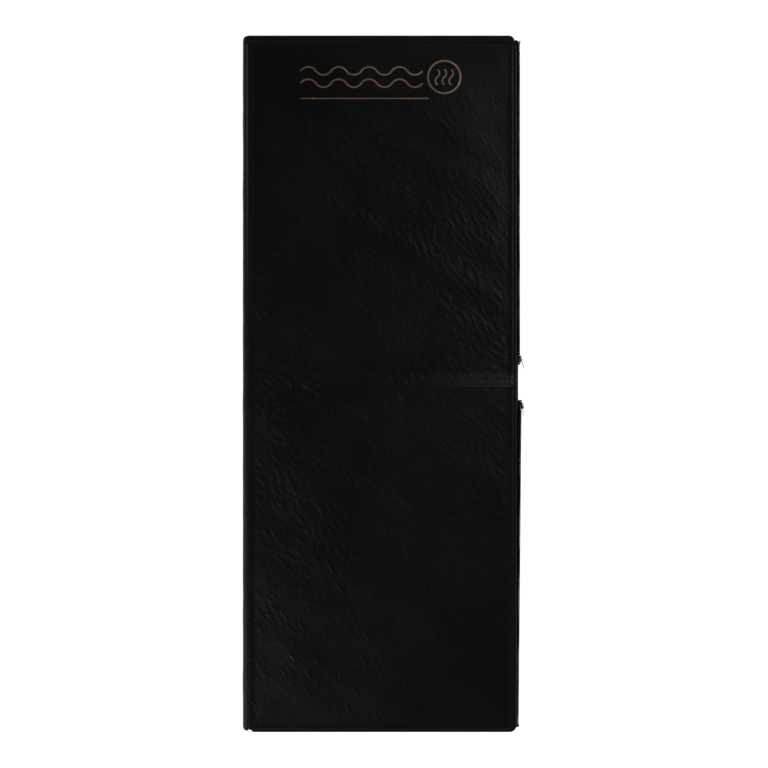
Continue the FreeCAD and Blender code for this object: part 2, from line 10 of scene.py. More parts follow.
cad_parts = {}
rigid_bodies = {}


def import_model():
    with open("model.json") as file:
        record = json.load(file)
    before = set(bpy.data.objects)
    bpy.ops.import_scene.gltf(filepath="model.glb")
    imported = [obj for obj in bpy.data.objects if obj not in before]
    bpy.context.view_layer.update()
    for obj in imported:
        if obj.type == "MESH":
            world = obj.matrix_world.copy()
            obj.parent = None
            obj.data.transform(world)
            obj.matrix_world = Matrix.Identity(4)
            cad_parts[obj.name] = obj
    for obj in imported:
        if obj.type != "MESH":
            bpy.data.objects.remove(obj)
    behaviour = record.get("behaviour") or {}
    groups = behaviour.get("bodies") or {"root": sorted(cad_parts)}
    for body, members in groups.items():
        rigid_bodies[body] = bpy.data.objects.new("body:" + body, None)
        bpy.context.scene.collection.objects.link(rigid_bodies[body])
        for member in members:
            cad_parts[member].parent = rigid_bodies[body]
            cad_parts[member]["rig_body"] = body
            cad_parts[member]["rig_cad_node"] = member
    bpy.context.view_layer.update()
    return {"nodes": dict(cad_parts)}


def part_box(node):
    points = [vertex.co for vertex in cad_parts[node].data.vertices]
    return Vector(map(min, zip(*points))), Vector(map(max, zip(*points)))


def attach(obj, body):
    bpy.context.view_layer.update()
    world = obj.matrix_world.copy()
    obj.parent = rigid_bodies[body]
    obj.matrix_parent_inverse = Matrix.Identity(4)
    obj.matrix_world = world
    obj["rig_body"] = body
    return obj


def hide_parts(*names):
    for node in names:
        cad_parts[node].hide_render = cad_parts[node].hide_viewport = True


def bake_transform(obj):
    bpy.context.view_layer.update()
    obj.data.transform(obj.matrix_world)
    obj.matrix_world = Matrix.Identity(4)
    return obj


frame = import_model()
scene = bpy.context.scene


# camera, floor and light

view = {
    "height": 8.0,          # camera above the floor
    "frameWidth": 1.9834,   # what it takes in at the cover's top
    "centre": (0.0009, -0.00065),
    "sensor": 36.0,
}
studio = {
    "floorSize": 60.0,
    "paper": (0.90, 0.90, 0.90),
    "paperGlow": 0.84,      # the table is lit from below, so nothing on it throws a hard shadow
    "paperDrop": 0.0005,    # how far the floor lies under the blanket
    "overhead": 0.02,       # the air is dark above and glows towards the horizon
    "horizon": 0.55,
    "glowFrom": 0.25,       # how high the glow starts to fade, and where it ends
    "glowTo": 0.72,
    # where each lamp stands, its width and height, and its power
    "lamps": {
        "rightLamp": ((4.0, 1.2, 1.8), 2.4, 3.4, 34),
        "leftLamp": ((-4.0, -1.2, 1.8), 2.4, 3.4, 30),
        "neckLamp": ((0.3, 4.6, 1.9), 3.4, 2.0, 22),
        "footLamp": ((-0.3, -4.6, 1.9), 3.4, 2.0, 22),
        "highRightLamp": ((2.6, 1.45, 4.4), 1.3, 1.3, 40),
        "highLeftLamp": ((-2.4, -2.2, 4.4), 1.3, 1.3, 46),
    },
}


def addCamera():
    data = bpy.data.cameras.new("camera")
    camera = bpy.data.objects.new("camera", data)
    scene.collection.objects.link(camera)
    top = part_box("cover_outer_shell")[1].z
    data.sensor_width = view["sensor"]
    data.lens = view["sensor"] * (view["height"] - top) / view["frameWidth"]
    data.clip_end = 100
    camera.location = (*view["centre"], view["height"])
    scene.camera = camera


def addFloor():
    half = studio["floorSize"] / 2
    mesh = bpy.data.meshes.new("floor")
    mesh.from_pydata([(-half, -half, 0), (half, -half, 0), (half, half, 0), (-half, half, 0)],
                     [], [(0, 1, 2, 3)])
    floor = bpy.data.objects.new("floor", mesh)
    scene.collection.objects.link(floor)
    floor.location.z = -studio["paperDrop"]
    paper = bpy.data.materials.new("studioPaper")
    paper.use_nodes = True
    shader = paper.node_tree.nodes["Principled BSDF"]
    shader.inputs["Base Color"].default_value = (*studio["paper"], 1)
    shader.inputs["Roughness"].default_value = 0.95
    shader.inputs["Specular IOR Level"].default_value = 0.0
    shader.inputs["Emission Color"].default_value = (1, 1, 1, 1)
    shader.inputs["Emission Strength"].default_value = studio["paperGlow"]
    mesh.materials.append(paper)


def addLamps():
    # soft boxes that all face the middle of the blanket
    for name, (place, width, height, power) in studio["lamps"].items():
        data = bpy.data.lights.new(name, "AREA")
        data.shape = "RECTANGLE"
        data.size = width
        data.size_y = height
        data.energy = power
        lamp = bpy.data.objects.new(name, data)
        scene.collection.objects.link(lamp)
        lamp.location = place
        lamp.rotation_euler = (-Vector(place)).to_track_quat("-Z", "Y").to_euler()
        lamp.visible_camera = False


def addAir():
    # a plain wall behind the blanket, and for the gloss an air that darkens overhead
    world = bpy.data.worlds.new("studioAir")
    scene.world = world
    world.use_nodes = True
    tree = world.node_tree
    tree.nodes.clear()
    out = tree.nodes.new("ShaderNodeOutputWorld")
    mix = tree.nodes.new("ShaderNodeMixShader")
    path = tree.nodes.new("ShaderNodeLightPath")
    air = tree.nodes.new("ShaderNodeBackground")
    wall = tree.nodes.new("ShaderNodeBackground")
    toward = tree.nodes.new("ShaderNodeTexCoord")
    parts = tree.nodes.new("ShaderNodeSeparateXYZ")
    tree.links.new(toward.outputs["Generated"], parts.inputs[0])
    glow = remap(tree, parts.outputs[2], studio["glowFrom"], studio["glowTo"],
                 studio["horizon"], studio["overhead"])
    tree.links.new(glow, air.inputs["Strength"])
    wall.inputs["Strength"].default_value = studio["paperGlow"]
    tree.links.new(path.outputs["Is Camera Ray"], mix.inputs[0])
    tree.links.new(air.outputs[0], mix.inputs[1])
    tree.links.new(wall.outputs[0], mix.inputs[2])
    tree.links.new(mix.outputs[0], out.inputs["Surface"])
    scene.view_settings.view_transform = "Standard"


# node helpers

def putNode(tree, kind, settings=None, **inputs):
    node = tree.nodes.new(kind)
    for key, value in (settings or {}).items():
        setattr(node, key, value)
    for key, value in inputs.items():
        node.inputs[key.replace("_", " ")].default_value = value
    return node


def calc(tree, operation, first, second=None, third=None):
    node = tree.nodes.new("ShaderNodeMath")
    node.operation = operation
    for socket, value in zip(node.inputs, (first, second, third)):
        if value is None:
            continue
        if isinstance(value, (int, float)):
            socket.default_value = value
        else:
            tree.links.new(value, socket)
    return node.outputs[0]


def remap(tree, value, low, high, toLow=0.0, toHigh=1.0, smooth=False):
    node = putNode(tree, "ShaderNodeMapRange", {"interpolation_type": "SMOOTHSTEP" if smooth else "LINEAR"},
                   From_Min=low, From_Max=high, To_Min=toLow, To_Max=toHigh)
    tree.links.new(value, node.inputs["Value"])
    return node.outputs[0]


addCamera()
addFloor()
addLamps()
addAir()
print("studio ready")


# shared effects

def newGroup(name, inputs, outputs):
    group = bpy.data.node_groups.new(name, "ShaderNodeTree")
    for label, value in inputs.items():
        socket = group.interface.new_socket(label, in_out="INPUT", socket_type="NodeSocketFloat")
        socket.default_value = value
    for label in outputs:
        group.interface.new_socket(label, in_out="OUTPUT", socket_type="NodeSocketFloat")
    source = group.nodes.new("NodeGroupInput")
    target = group.nodes.new("NodeGroupOutput")
    return group, source, target


def scaledPlace(tree, size):
    # object coordinates divided by a size in metres
    place = tree.nodes.new("ShaderNodeTexCoord")
    scale = putNode(tree, "ShaderNodeVectorMath", {"operation": "SCALE"})
    tree.links.new(place.outputs["Object"], scale.inputs[0])
    tree.links.new(calc(tree, "DIVIDE", 1.0, size), scale.inputs["Scale"])
    return scale.outputs[0]


def objectPlace(tree):
    # object coordinates whole, and along each axis
    place = tree.nodes.new("ShaderNodeTexCoord").outputs["Object"]
    parts = tree.nodes.new("ShaderNodeSeparateXYZ")
    tree.links.new(place, parts.inputs[0])
    return place, parts.outputs


def noiseAt(tree, place, settings=None, **inputs):
    node = putNode(tree, "ShaderNodeTexNoise", settings, **inputs)
    tree.links.new(place, node.inputs["Vector"])
    return node.outputs[0]


def makeLeatherGrain():
    group, source, target = newGroup("leatherGrain", {"Pebble Size": 0.0016, "Wander": 0.35},
                                     ["Height", "Valley"])
    place = scaledPlace(group, source.outputs["Pebble Size"])
    drift = putNode(group, "ShaderNodeTexNoise", Scale=0.9, Detail=2.0)
    group.links.new(place, drift.inputs["Vector"])
    push = putNode(group, "ShaderNodeVectorMath", {"operation": "SCALE"})
    group.links.new(drift.outputs["Color"], push.inputs[0])
    group.links.new(source.outputs["Wander"], push.inputs["Scale"])
    moved = group.nodes.new("ShaderNodeVectorMath")
    group.links.new(place, moved.inputs[0])
    group.links.new(push.outputs[0], moved.inputs[1])
    pebble = putNode(group, "ShaderNodeTexVoronoi", {"feature": "DISTANCE_TO_EDGE"}, Scale=1.0)
    group.links.new(moved.outputs[0], pebble.inputs["Vector"])
    dome = remap(group, pebble.outputs["Distance"], 0.0, 0.34, smooth=True)
    pores = noiseAt(group, place, Scale=3.1, Detail=4.0, Roughness=0.6)
    height = calc(group, "MULTIPLY_ADD", pores, 0.35, calc(group, "MULTIPLY", dome, 0.65))
    group.links.new(height, target.inputs["Height"])
    group.links.new(calc(group, "SUBTRACT", 1.0, dome), target.inputs["Valley"])
    return group


def makeCreaseLines():
    # long thin folds that lie in one direction, with quiet stretches between them
    group, source, target = newGroup(
        "creaseLines", {"Length": 0.020, "Width": 0.0062, "Quiet Size": 0.10}, ["Height", "Amount"])
    place = objectPlace(group)[0]
    turn = putNode(group, "ShaderNodeMapping", {"vector_type": "POINT"}, Rotation=(0, 0, math.radians(54)))
    group.links.new(place, turn.inputs["Vector"])
    parts = group.nodes.new("ShaderNodeSeparateXYZ")
    group.links.new(turn.outputs[0], parts.inputs[0])
    joined = group.nodes.new("ShaderNodeCombineXYZ")
    for axis, label in enumerate(("Length", "Width", "Width")):
        scaled = calc(group, "DIVIDE", parts.outputs[axis], source.outputs[label])
        group.links.new(scaled, joined.inputs[axis])
    folds = noiseAt(group, joined.outputs[0], {"noise_type": "RIDGED_MULTIFRACTAL", "normalize": False},
                    Scale=0.75, Detail=2.5, Roughness=0.5, Lacunarity=2.1, Distortion=0.35)
    calm = noiseAt(group, scaledPlace(group, source.outputs["Quiet Size"]), Scale=1.0, Detail=1.0)
    amount = remap(group, calm, 0.36, 0.62, 0.12, 1.0, smooth=True)
    group.links.new(calc(group, "MULTIPLY", folds, amount), target.inputs["Height"])
    group.links.new(amount, target.inputs["Amount"])
    return group


def makeCloudTone():
    group, source, target = newGroup("cloudTone", {"Patch Size": 0.2}, ["Patch", "Speck"])
    place = scaledPlace(group, source.outputs["Patch Size"])
    wide = noiseAt(group, place, Scale=1.0, Detail=3.0, Roughness=0.55)
    fine = noiseAt(group, place, Scale=60.0, Detail=2.0, Roughness=0.7)
    group.links.new(remap(group, wide, 0.3, 0.7, smooth=True), target.inputs["Patch"])
    group.links.new(remap(group, fine, 0.4, 0.75), target.inputs["Speck"])
    return group


def makeTwillWeave():
    group, source, target = newGroup("twillWeave", {"Thread Size": 0.0007}, ["Height", "Gap"])
    place = scaledPlace(group, source.outputs["Thread Size"])
    parts = group.nodes.new("ShaderNodeSeparateXYZ")
    group.links.new(place, parts.inputs[0])
    side = calc(group, "ADD", parts.outputs[0], parts.outputs[2])
    warp = calc(group, "SINE", calc(group, "MULTIPLY", parts.outputs[1], math.pi))
    slant = calc(group, "MULTIPLY_ADD", parts.outputs[1], 0.5 * math.pi,
                 calc(group, "MULTIPLY", side, math.pi))
    weft = calc(group, "SINE", slant)
    crossing = calc(group, "MULTIPLY_ADD", calc(group, "MULTIPLY", warp, weft), 0.5, 0.5)
    fuzz = noiseAt(group, place, Scale=2.3, Detail=3.0)
    height = calc(group, "MULTIPLY_ADD", fuzz, 0.3, calc(group, "MULTIPLY", crossing, 0.7))
    group.links.new(height, target.inputs["Height"])
    group.links.new(calc(group, "SUBTRACT", 1.0, crossing), target.inputs["Gap"])
    return group


def makeFeltFibre():
    group, source, target = newGroup("feltFibre", {"Fibre Size": 0.0009}, ["Height", "Tuft"])
    place = scaledPlace(group, source.outputs["Fibre Size"])
    hairs = noiseAt(group, place, Scale=0.8, Detail=6.0, Roughness=0.75, Distortion=1.6)
    tufts = putNode(group, "ShaderNodeTexVoronoi", Scale=0.45)
    group.links.new(place, tufts.inputs["Vector"])
    tuft = remap(group, tufts.outputs["Distance"], 0.0, 0.8, 1.0, 0.0)
    group.links.new(calc(group, "MULTIPLY_ADD", tuft, 0.4, calc(group, "MULTIPLY", hairs, 0.6)),
                    target.inputs["Height"])
    group.links.new(tuft, target.inputs["Tuft"])
    return group


def makeRubbedEdges():
    group, source, target = newGroup("rubbedEdges", {"Patch Size": 0.004}, ["Mask"])
    shape = group.nodes.new("ShaderNodeNewGeometry")
    patches = noiseAt(group, scaledPlace(group, source.outputs["Patch Size"]),
                      Scale=1.0, Detail=3.0, Roughness=0.65)
    sharp = remap(group, shape.outputs["Pointiness"], 0.52, 0.62)
    group.links.new(calc(group, "MULTIPLY", sharp, remap(group, patches, 0.35, 0.65)), target.inputs["Mask"])
    return group


def makePaintedSeamShade():
    # painted shade: the leather's colour is darkened, and made duller, where it dips into the hem seam and
    # the piping seam and shade falls
    group, source, target = newGroup(
        "seamGrime", {"Hem Place": 0.8805, "Side Place": 0.3375, "Width": 0.0032}, ["Mask"])
    place, along = objectPlace(group)
    masks = []
    for axis, label in ((1, "Hem Place"), (0, "Side Place")):
        away = calc(group, "ABSOLUTE", calc(group, "SUBTRACT", along[axis], source.outputs[label]))
        away = calc(group, "DIVIDE", away, source.outputs["Width"])
        masks.append(remap(group, away, 0.4, 1.5, 1.0, 0.0, smooth=True))
    group.links.new(calc(group, "MAXIMUM", *masks), target.inputs["Mask"])
    return group


def makeCreaseHighlight():
    # a painted highlight: a paler band along the lit upper slope of the storage crease, strongest at the zip
    # side
    group, source, target = newGroup(
        "foldWear", {"Place": 0.0085, "Width": 0.015, "Start": 0.03, "Full": 0.33}, ["Mask"])
    place, along = objectPlace(group)
    away = calc(group, "DIVIDE", calc(group, "SUBTRACT", along[1], source.outputs["Place"]),
                source.outputs["Width"])
    soft = remap(group, away, 0.1, 1.6, 1.0, 0.0, smooth=True)
    sharp = remap(group, away, -0.95, -0.75, smooth=True)
    span = calc(group, "SUBTRACT", source.outputs["Full"], source.outputs["Start"])
    run = calc(group, "DIVIDE", calc(group, "SUBTRACT", along[0], source.outputs["Start"]), span)
    line = calc(group, "MULTIPLY", calc(group, "MULTIPLY", soft, sharp),
                remap(group, run, 0.0, 1.0, smooth=True))
    patches = remap(group, noiseAt(group, place, Scale=90.0, Detail=3.0), 0.25, 0.7, 0.45, 1.0)
    group.links.new(calc(group, "MULTIPLY", line, patches), target.inputs["Mask"])
    return group


effects = {
    # two of these paint light into the leather's colour: painted shade in the seams and a painted highlight
    # along the storage crease
    "seamGrime": makePaintedSeamShade(),
    "foldWear": makeCreaseHighlight(),
    "leatherGrain": makeLeatherGrain(),
    "creaseLines": makeCreaseLines(),
    "cloudTone": makeCloudTone(),
    "twillWeave": makeTwillWeave(),
    "feltFibre": makeFeltFibre(),
    "rubbedEdges": makeRubbedEdges(),
}


def putEffect(tree, name, **values):
    node = tree.nodes.new("ShaderNodeGroup")
    node.node_tree = effects[name]
    for key, value in values.items():
        node.inputs[key.replace("_", " ")].default_value = value
    return node


def newFinish(name, roughness, metallic=0.0, specular=0.5, sheen=0.0, ior=1.5):
    material = bpy.data.materials.new(name)
    material.use_nodes = True
    tree = material.node_tree
    shader = tree.nodes["Principled BSDF"]
    shader.inputs["Roughness"].default_value = roughness
    shader.inputs["Metallic"].default_value = metallic
    shader.inputs["Specular IOR Level"].default_value = specular
    shader.inputs["Sheen Weight"].default_value = sheen
    shader.inputs["IOR"].default_value = ior
    return material, tree, shader


def mixColors(tree, amount, first, second):
    node = putNode(tree, "ShaderNodeMix", {"data_type": "RGBA"})
    node.inputs[6].default_value = (*first, 1)
    node.inputs[7].default_value = (*second, 1)
    tree.links.new(amount, node.inputs[0])
    return node.outputs[2]


def addBump(tree, shader, height, depth, strength=1.0):
    bump = putNode(tree, "ShaderNodeBump", Strength=strength, Distance=depth)
    tree.links.new(height, bump.inputs["Height"])
    tree.links.new(bump.outputs[0], shader.inputs["Normal"])


# finishes

# 'seams' adds painted shade in the seams, and the other flag adds a painted highlight along the storage
# crease
leathers = {
    "coverLeather": {
        "pebble": (0.0015, 0.0015, 0.0016), "valley": (0.0007, 0.0007, 0.0007), "roughness": (0.30, 0.35),
        "pebbleSize": 0.0015, "grainDepth": 0.00006, "creaseDepth": 0.0006, "seams": True, "scuffs": True,
    },
    "baseLeather": {
        "pebble": (0.0034, 0.0034, 0.0035), "valley": (0.0015, 0.0015, 0.0015), "roughness": (0.32, 0.40),
        "pebbleSize": 0.0015, "grainDepth": 0.00008, "creaseDepth": 0.0003, "seams": False, "scuffs": False,
    },
    "trimLeather": {
        "pebble": (0.0026, 0.0026, 0.0027), "valley": (0.0012, 0.0012, 0.0012), "roughness": (0.28, 0.34),
        "pebbleSize": 0.0010, "grainDepth": 0.00005, "creaseDepth": 0.0, "seams": True, "scuffs": False,
    },
    "liningLeather": {
        "pebble": (0.0130, 0.0127, 0.0124), "valley": (0.0070, 0.0068, 0.0066), "roughness": (0.38, 0.50),
        "pebbleSize": 0.0011, "grainDepth": 0.00006, "creaseDepth": 0.0003, "seams": False, "scuffs": False,
    },
}
# the colours of the painted seam shade and the painted crease highlight, how much rougher the seam shade and
# the grain valleys are, and the size of the tone patches
leatherMarksAndPaintedLight = {
    "grime": (0.0003, 0.0003, 0.0003), "grimeDull": 0.35,
    "scuff": (0.0125, 0.0125, 0.0122),
    "valleyDull": 0.10, "patchSize": 0.17,
}


def overlay(tree, mask, under, color):
    # lays a colour over another one where the mask is
    node = putNode(tree, "ShaderNodeMix", {"data_type": "RGBA"})
    node.inputs[7].default_value = (*color, 1)
    tree.links.new(mask, node.inputs[0])
    tree.links.new(under, node.inputs[6])
    return node.outputs[2]


def makeLeather(name, spec):
    smooth, worn = spec["roughness"]
    material, tree, shader = newFinish(name, smooth, specular=0.25)
    grain = putEffect(tree, "leatherGrain", Pebble_Size=spec["pebbleSize"])
    tone = putEffect(tree, "cloudTone", Patch_Size=leatherMarksAndPaintedLight["patchSize"])
    color = mixColors(tree, grain.outputs["Valley"], spec["pebble"], spec["valley"])
    rough = calc(tree, "MULTIPLY_ADD", tone.outputs["Patch"], worn - smooth,
                 calc(tree, "MULTIPLY_ADD", grain.outputs["Valley"], leatherMarksAndPaintedLight["valleyDull"], smooth))
    # painted shade: the seam mask darkens the colour in the hem and piping seams, where shade falls, and
    # makes the leather rougher there
    if spec["seams"]:
        grime = putEffect(tree, "seamGrime").outputs["Mask"]
        color = overlay(tree, grime, color, leatherMarksAndPaintedLight["grime"])
        rough = calc(tree, "MULTIPLY_ADD", grime, leatherMarksAndPaintedLight["grimeDull"], rough)
    # painted highlight: the crease mask pales the colour along the lit upper slope of the storage crease
    if spec["scuffs"]:
        color = overlay(tree, putEffect(tree, "foldWear").outputs["Mask"], color, leatherMarksAndPaintedLight["scuff"])
    tree.links.new(color, shader.inputs["Base Color"])
    tree.links.new(rough, shader.inputs["Roughness"])
    height, depth = grain.outputs["Height"], spec["grainDepth"]
    if spec["creaseDepth"]:
        depth = spec["creaseDepth"]
        height = calc(tree, "MULTIPLY_ADD", height, spec["grainDepth"] / depth,
                      putEffect(tree, "creaseLines").outputs["Height"])
    addBump(tree, shader, height, depth)
    return material


def makeWoven(name, light, dark, thread, roughness):
    material, tree, shader = newFinish(name, roughness, specular=0.2, ior=1.2)
    weave = putEffect(tree, "twillWeave", Thread_Size=thread)
    tone = putEffect(tree, "cloudTone", Patch_Size=0.05)
    shade = calc(tree, "MULTIPLY_ADD", tone.outputs["Patch"], 0.3,
                 calc(tree, "MULTIPLY", weave.outputs["Gap"], 0.7))
    tree.links.new(mixColors(tree, shade, light, dark), shader.inputs["Base Color"])
    tree.links.new(remap(tree, tone.outputs["Speck"], 0, 1, roughness - 0.08, roughness + 0.08),
                   shader.inputs["Roughness"])
    addBump(tree, shader, weave.outputs["Height"], thread * 0.35)
    return material


def makeFelt(name, light, dark, fibre, depth):
    material, tree, shader = newFinish(name, 0.92, specular=0.15, sheen=0.3)
    fibres = putEffect(tree, "feltFibre", Fibre_Size=fibre)
    tree.links.new(mixColors(tree, fibres.outputs["Tuft"], dark, light), shader.inputs["Base Color"])
    addBump(tree, shader, fibres.outputs["Height"], depth)
    return material


def makeMetal(name, body, rubbed, roughness, patch):
    material, tree, shader = newFinish(name, roughness, metallic=1.0)
    edges = putEffect(tree, "rubbedEdges", Patch_Size=patch)
    tone = putEffect(tree, "cloudTone", Patch_Size=patch * 2)
    tree.links.new(mixColors(tree, edges.outputs["Mask"], body, rubbed), shader.inputs["Base Color"])
    rough = calc(tree, "MULTIPLY_ADD", tone.outputs["Patch"], 0.14,
                 calc(tree, "MULTIPLY_ADD", edges.outputs["Mask"], -0.08, roughness - 0.05))
    tree.links.new(rough, shader.inputs["Roughness"])
    addBump(tree, shader, tone.outputs["Speck"], patch * 0.006)
    return material


def makePlastic(name, color, worn, roughness, texture, specular=0.5, ior=1.5):
    material, tree, shader = newFinish(name, roughness, specular=specular, ior=ior)
    edges = putEffect(tree, "rubbedEdges", Patch_Size=0.003)
    grain = putEffect(tree, "leatherGrain", Pebble_Size=texture, Wander=0.8)
    tree.links.new(mixColors(tree, edges.outputs["Mask"], color, worn), shader.inputs["Base Color"])
    tree.links.new(remap(tree, grain.outputs["Valley"], 0, 1, roughness - 0.04, roughness + 0.1),
                   shader.inputs["Roughness"])
    addBump(tree, shader, grain.outputs["Height"], texture * 0.06)
    return material


def makeFoil(name, color, dull, roughness, fold, depth):
    material, tree, shader = newFinish(name, roughness, metallic=1.0)
    tone = putEffect(tree, "cloudTone", Patch_Size=fold * 4)
    grain = putEffect(tree, "leatherGrain", Pebble_Size=fold, Wander=1.2)
    tree.links.new(mixColors(tree, tone.outputs["Patch"], color, dull), shader.inputs["Base Color"])
    tree.links.new(remap(tree, tone.outputs["Speck"], 0, 1, roughness - 0.06, roughness + 0.12),
                   shader.inputs["Roughness"])
    addBump(tree, shader, grain.outputs["Height"], depth)
    return material


finishes = {name: makeLeather(name, spec) for name, spec in leathers.items()}
finishes.update({
    "zipTape": makeWoven("zipTape", (0.0050, 0.0050, 0.0052), (0.0018, 0.0018, 0.0018), 0.00055, 0.78),
    "bindingWeb": makeWoven("bindingWeb", (0.009, 0.009, 0.009), (0.003, 0.003, 0.003), 0.0009, 0.75),
    "heaterCarrier": makeWoven("heaterCarrier", (0.62, 0.60, 0.55), (0.40, 0.39, 0.36), 0.0008, 0.85),
    "thread": makeWoven("thread", (0.016, 0.016, 0.017), (0.005, 0.005, 0.005), 0.0003, 0.6),
    "insulationFelt": makeFelt("insulationFelt", (0.55, 0.55, 0.54), (0.36, 0.36, 0.35), 0.0011, 0.0005),
    "heatFelt": makeFelt("heatFelt", (0.10, 0.10, 0.10), (0.05, 0.05, 0.05), 0.0009, 0.0004),
    "hookPile": makeFelt("hookPile", (0.016, 0.016, 0.016), (0.004, 0.004, 0.004), 0.0014, 0.0007),
    "loopPile": makeFelt("loopPile", (0.020, 0.020, 0.020), (0.006, 0.006, 0.006), 0.0009, 0.0006),
    "zipCoil": makePlastic("zipCoil", (0.0035, 0.0035, 0.0037), (0.010, 0.010, 0.010), 0.42, 0.0004,
                           ior=1.22),
    "inletPlastic": makePlastic("inletPlastic", (0.010, 0.010, 0.011), (0.035, 0.035, 0.036), 0.45, 0.0006),
    "devicePlastic": makePlastic("devicePlastic", (0.60, 0.59, 0.56), (0.75, 0.74, 0.70), 0.42, 0.0005),
    "wireRubber": makePlastic("wireRubber", (0.35, 0.045, 0.03), (0.5, 0.12, 0.09), 0.5, 0.0004),
    "heaterCord": makePlastic("heaterCord", (0.70, 0.68, 0.62), (0.80, 0.78, 0.74), 0.48, 0.0004),
    "zipMetal": makeMetal("zipMetal", (0.030, 0.030, 0.032), (0.22, 0.215, 0.21), 0.30, 0.0022),
    "inletMetal": makeMetal("inletMetal", (0.45, 0.45, 0.46), (0.72, 0.71, 0.70), 0.30, 0.0015),
    "contactBrass": makeMetal("contactBrass", (0.62, 0.43, 0.17), (0.85, 0.66, 0.34), 0.24, 0.0012),
    "reflectiveFoil": makeFoil("reflectiveFoil", (0.80, 0.80, 0.82), (0.62, 0.62, 0.64), 0.2, 0.012, 0.0006),
    "copperPrint": makeFoil("copperPrint", (0.56, 0.36, 0.25), (0.40, 0.245, 0.165), 0.36, 0.0016, 0.00006),
})
print("finishes ready:", len(finishes))


# what each carried-over CAD node is made of

nodeFinishes = {
    "wireRubber": ["spine_cable_loop"],
    "liningLeather": ["spine_lining_strip"],
    "trimLeather": ["cover_edge_piping"],
    "coverLeather": ["cover_outer_shell"],
    "baseLeather": ["base_outer_shell", "spine_strip"],
    "zipMetal": ["upper_slider", "upper_slider_pull", "lower_slider", "lower_slider_pull"],
    "hookPile": ["foot_hook_strip"],
    "loopPile": ["foot_loop_strip"],
    "inletPlastic": ["inlet_housing", "inlet_flange"],
    "contactBrass": ["inlet_contact_pins"],
    "inletMetal": ["inlet_screws"],
    "thread": ["cover_hem_thread"],
    "copperPrint": ["cover_foil_emblem"],
}
pairedFinishes = {   # the same in the base and in the cover
    "insulationFelt": ["insulation_pad"],
    "reflectiveFoil": ["reflective_foil"],
    "heaterCarrier": ["heater_carrier"],
    "heatFelt": ["heat_felt"],
    "heaterCord": ["upper_heater_cord", "lower_heater_cord"],
    "wireRubber": ["power_leads", "link_cable"],
    "devicePlastic": ["thermal_cutouts", "temperature_sensor", "junction_block"],
    "liningLeather": ["inner_lining"],
    "trimLeather": ["neck_hem", "gap_binding"],
    "zipTape": ["upper_zip_tape", "lower_zip_tape"],
    "zipCoil": ["upper_zip_coil", "lower_zip_coil"],
    "zipMetal": ["zip_stops"],
}
for finish, names in pairedFinishes.items():
    both = [side + "_" + name for side in ("base", "cover") for name in names]
    nodeFinishes[finish] = nodeFinishes.get(finish, []) + both
for finish, names in nodeFinishes.items():
    for name in names:
        for slot in frame["nodes"][name].material_slots:
            slot.material = finishes[finish]
print("CAD nodes finished:", sum(len(names) for names in nodeFinishes.values()))


# mesh helpers

def gridFaces(rows, cols, closed=False):
    row = np.arange(rows - 1)[:, None]
    col = np.arange(cols if closed else cols - 1)[None, :]
    after = (col + 1) % cols
    corners = [row * cols + col, row * cols + after, (row + 1) * cols + after, (row + 1) * cols + col]
    return np.stack(np.broadcast_arrays(*corners), -1).reshape(-1, 4)


def rimLoop(rows, cols):
    # the numbers of a grid's outer points, going round it
    index = np.arange(rows * cols).reshape(rows, cols)
    return np.concatenate([index[0, :-1], index[:-1, -1], index[-1, :0:-1], index[:0:-1, 0]])


def bandCaps(rows, cols):
    # closes both ends of a thin folded band, whose rings go out along one face and back along the other
    faces = []
    for start in (0, (rows - 1) * cols):
        for i in range(cols // 2 - 1):
            quad = [start + i, start + i + 1, start + cols - 2 - i, start + cols - 1 - i]
            faces.append(quad if start == 0 else quad[::-1])
    return faces


def turnOver(points, faces, way):
    # a piece that faces down is made face up, then turned over
    points[:, 2] *= way
    return points, (faces if way > 0 else [face[::-1] for face in faces])


def arc(centre, radiusX, radiusY, start, end, count):
    turn = np.radians(np.linspace(start, end, count))
    return list(zip(centre[0] + radiusX * np.cos(turn), centre[1] + radiusY * np.sin(turn)))


def treeOf(piece):
    mesh = piece.data
    return BVHTree.FromPolygons([v.co for v in mesh.vertices], [list(p.vertices) for p in mesh.polygons])


def topOf(tree, x, y, otherwise):
    # how high a piece stands at one place
    hit = tree.ray_cast(Vector((x, y, 0.06)), Vector((0, 0, -1)))[0]
    return hit.z if hit else otherwise


def addPiece(name, points, faces, finish, body=None, slot=None, stands=()):
    mesh = bpy.data.meshes.new(name)
    mesh.from_pydata(np.asarray(points).tolist(), [], [list(map(int, face)) for face in faces])
    mesh.materials.append(finishes[finish])
    mesh.shade_smooth()
    piece = bpy.data.objects.new(name, mesh)
    scene.collection.objects.link(piece)
    if body:
        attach(piece, body)
    if stands:
        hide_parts(*stands)
    return piece


def joinParts(parts):
    points, faces, count = [], [], 0
    for partPoints, partFaces in parts:
        points.append(np.asarray(partPoints))
        faces += [[int(i) + count for i in face] for face in partFaces]
        count += len(partPoints)
    return np.concatenate(points), faces


def unit(vectors):
    return vectors / np.maximum(np.linalg.norm(vectors, axis=-1, keepdims=True), 1e-12)


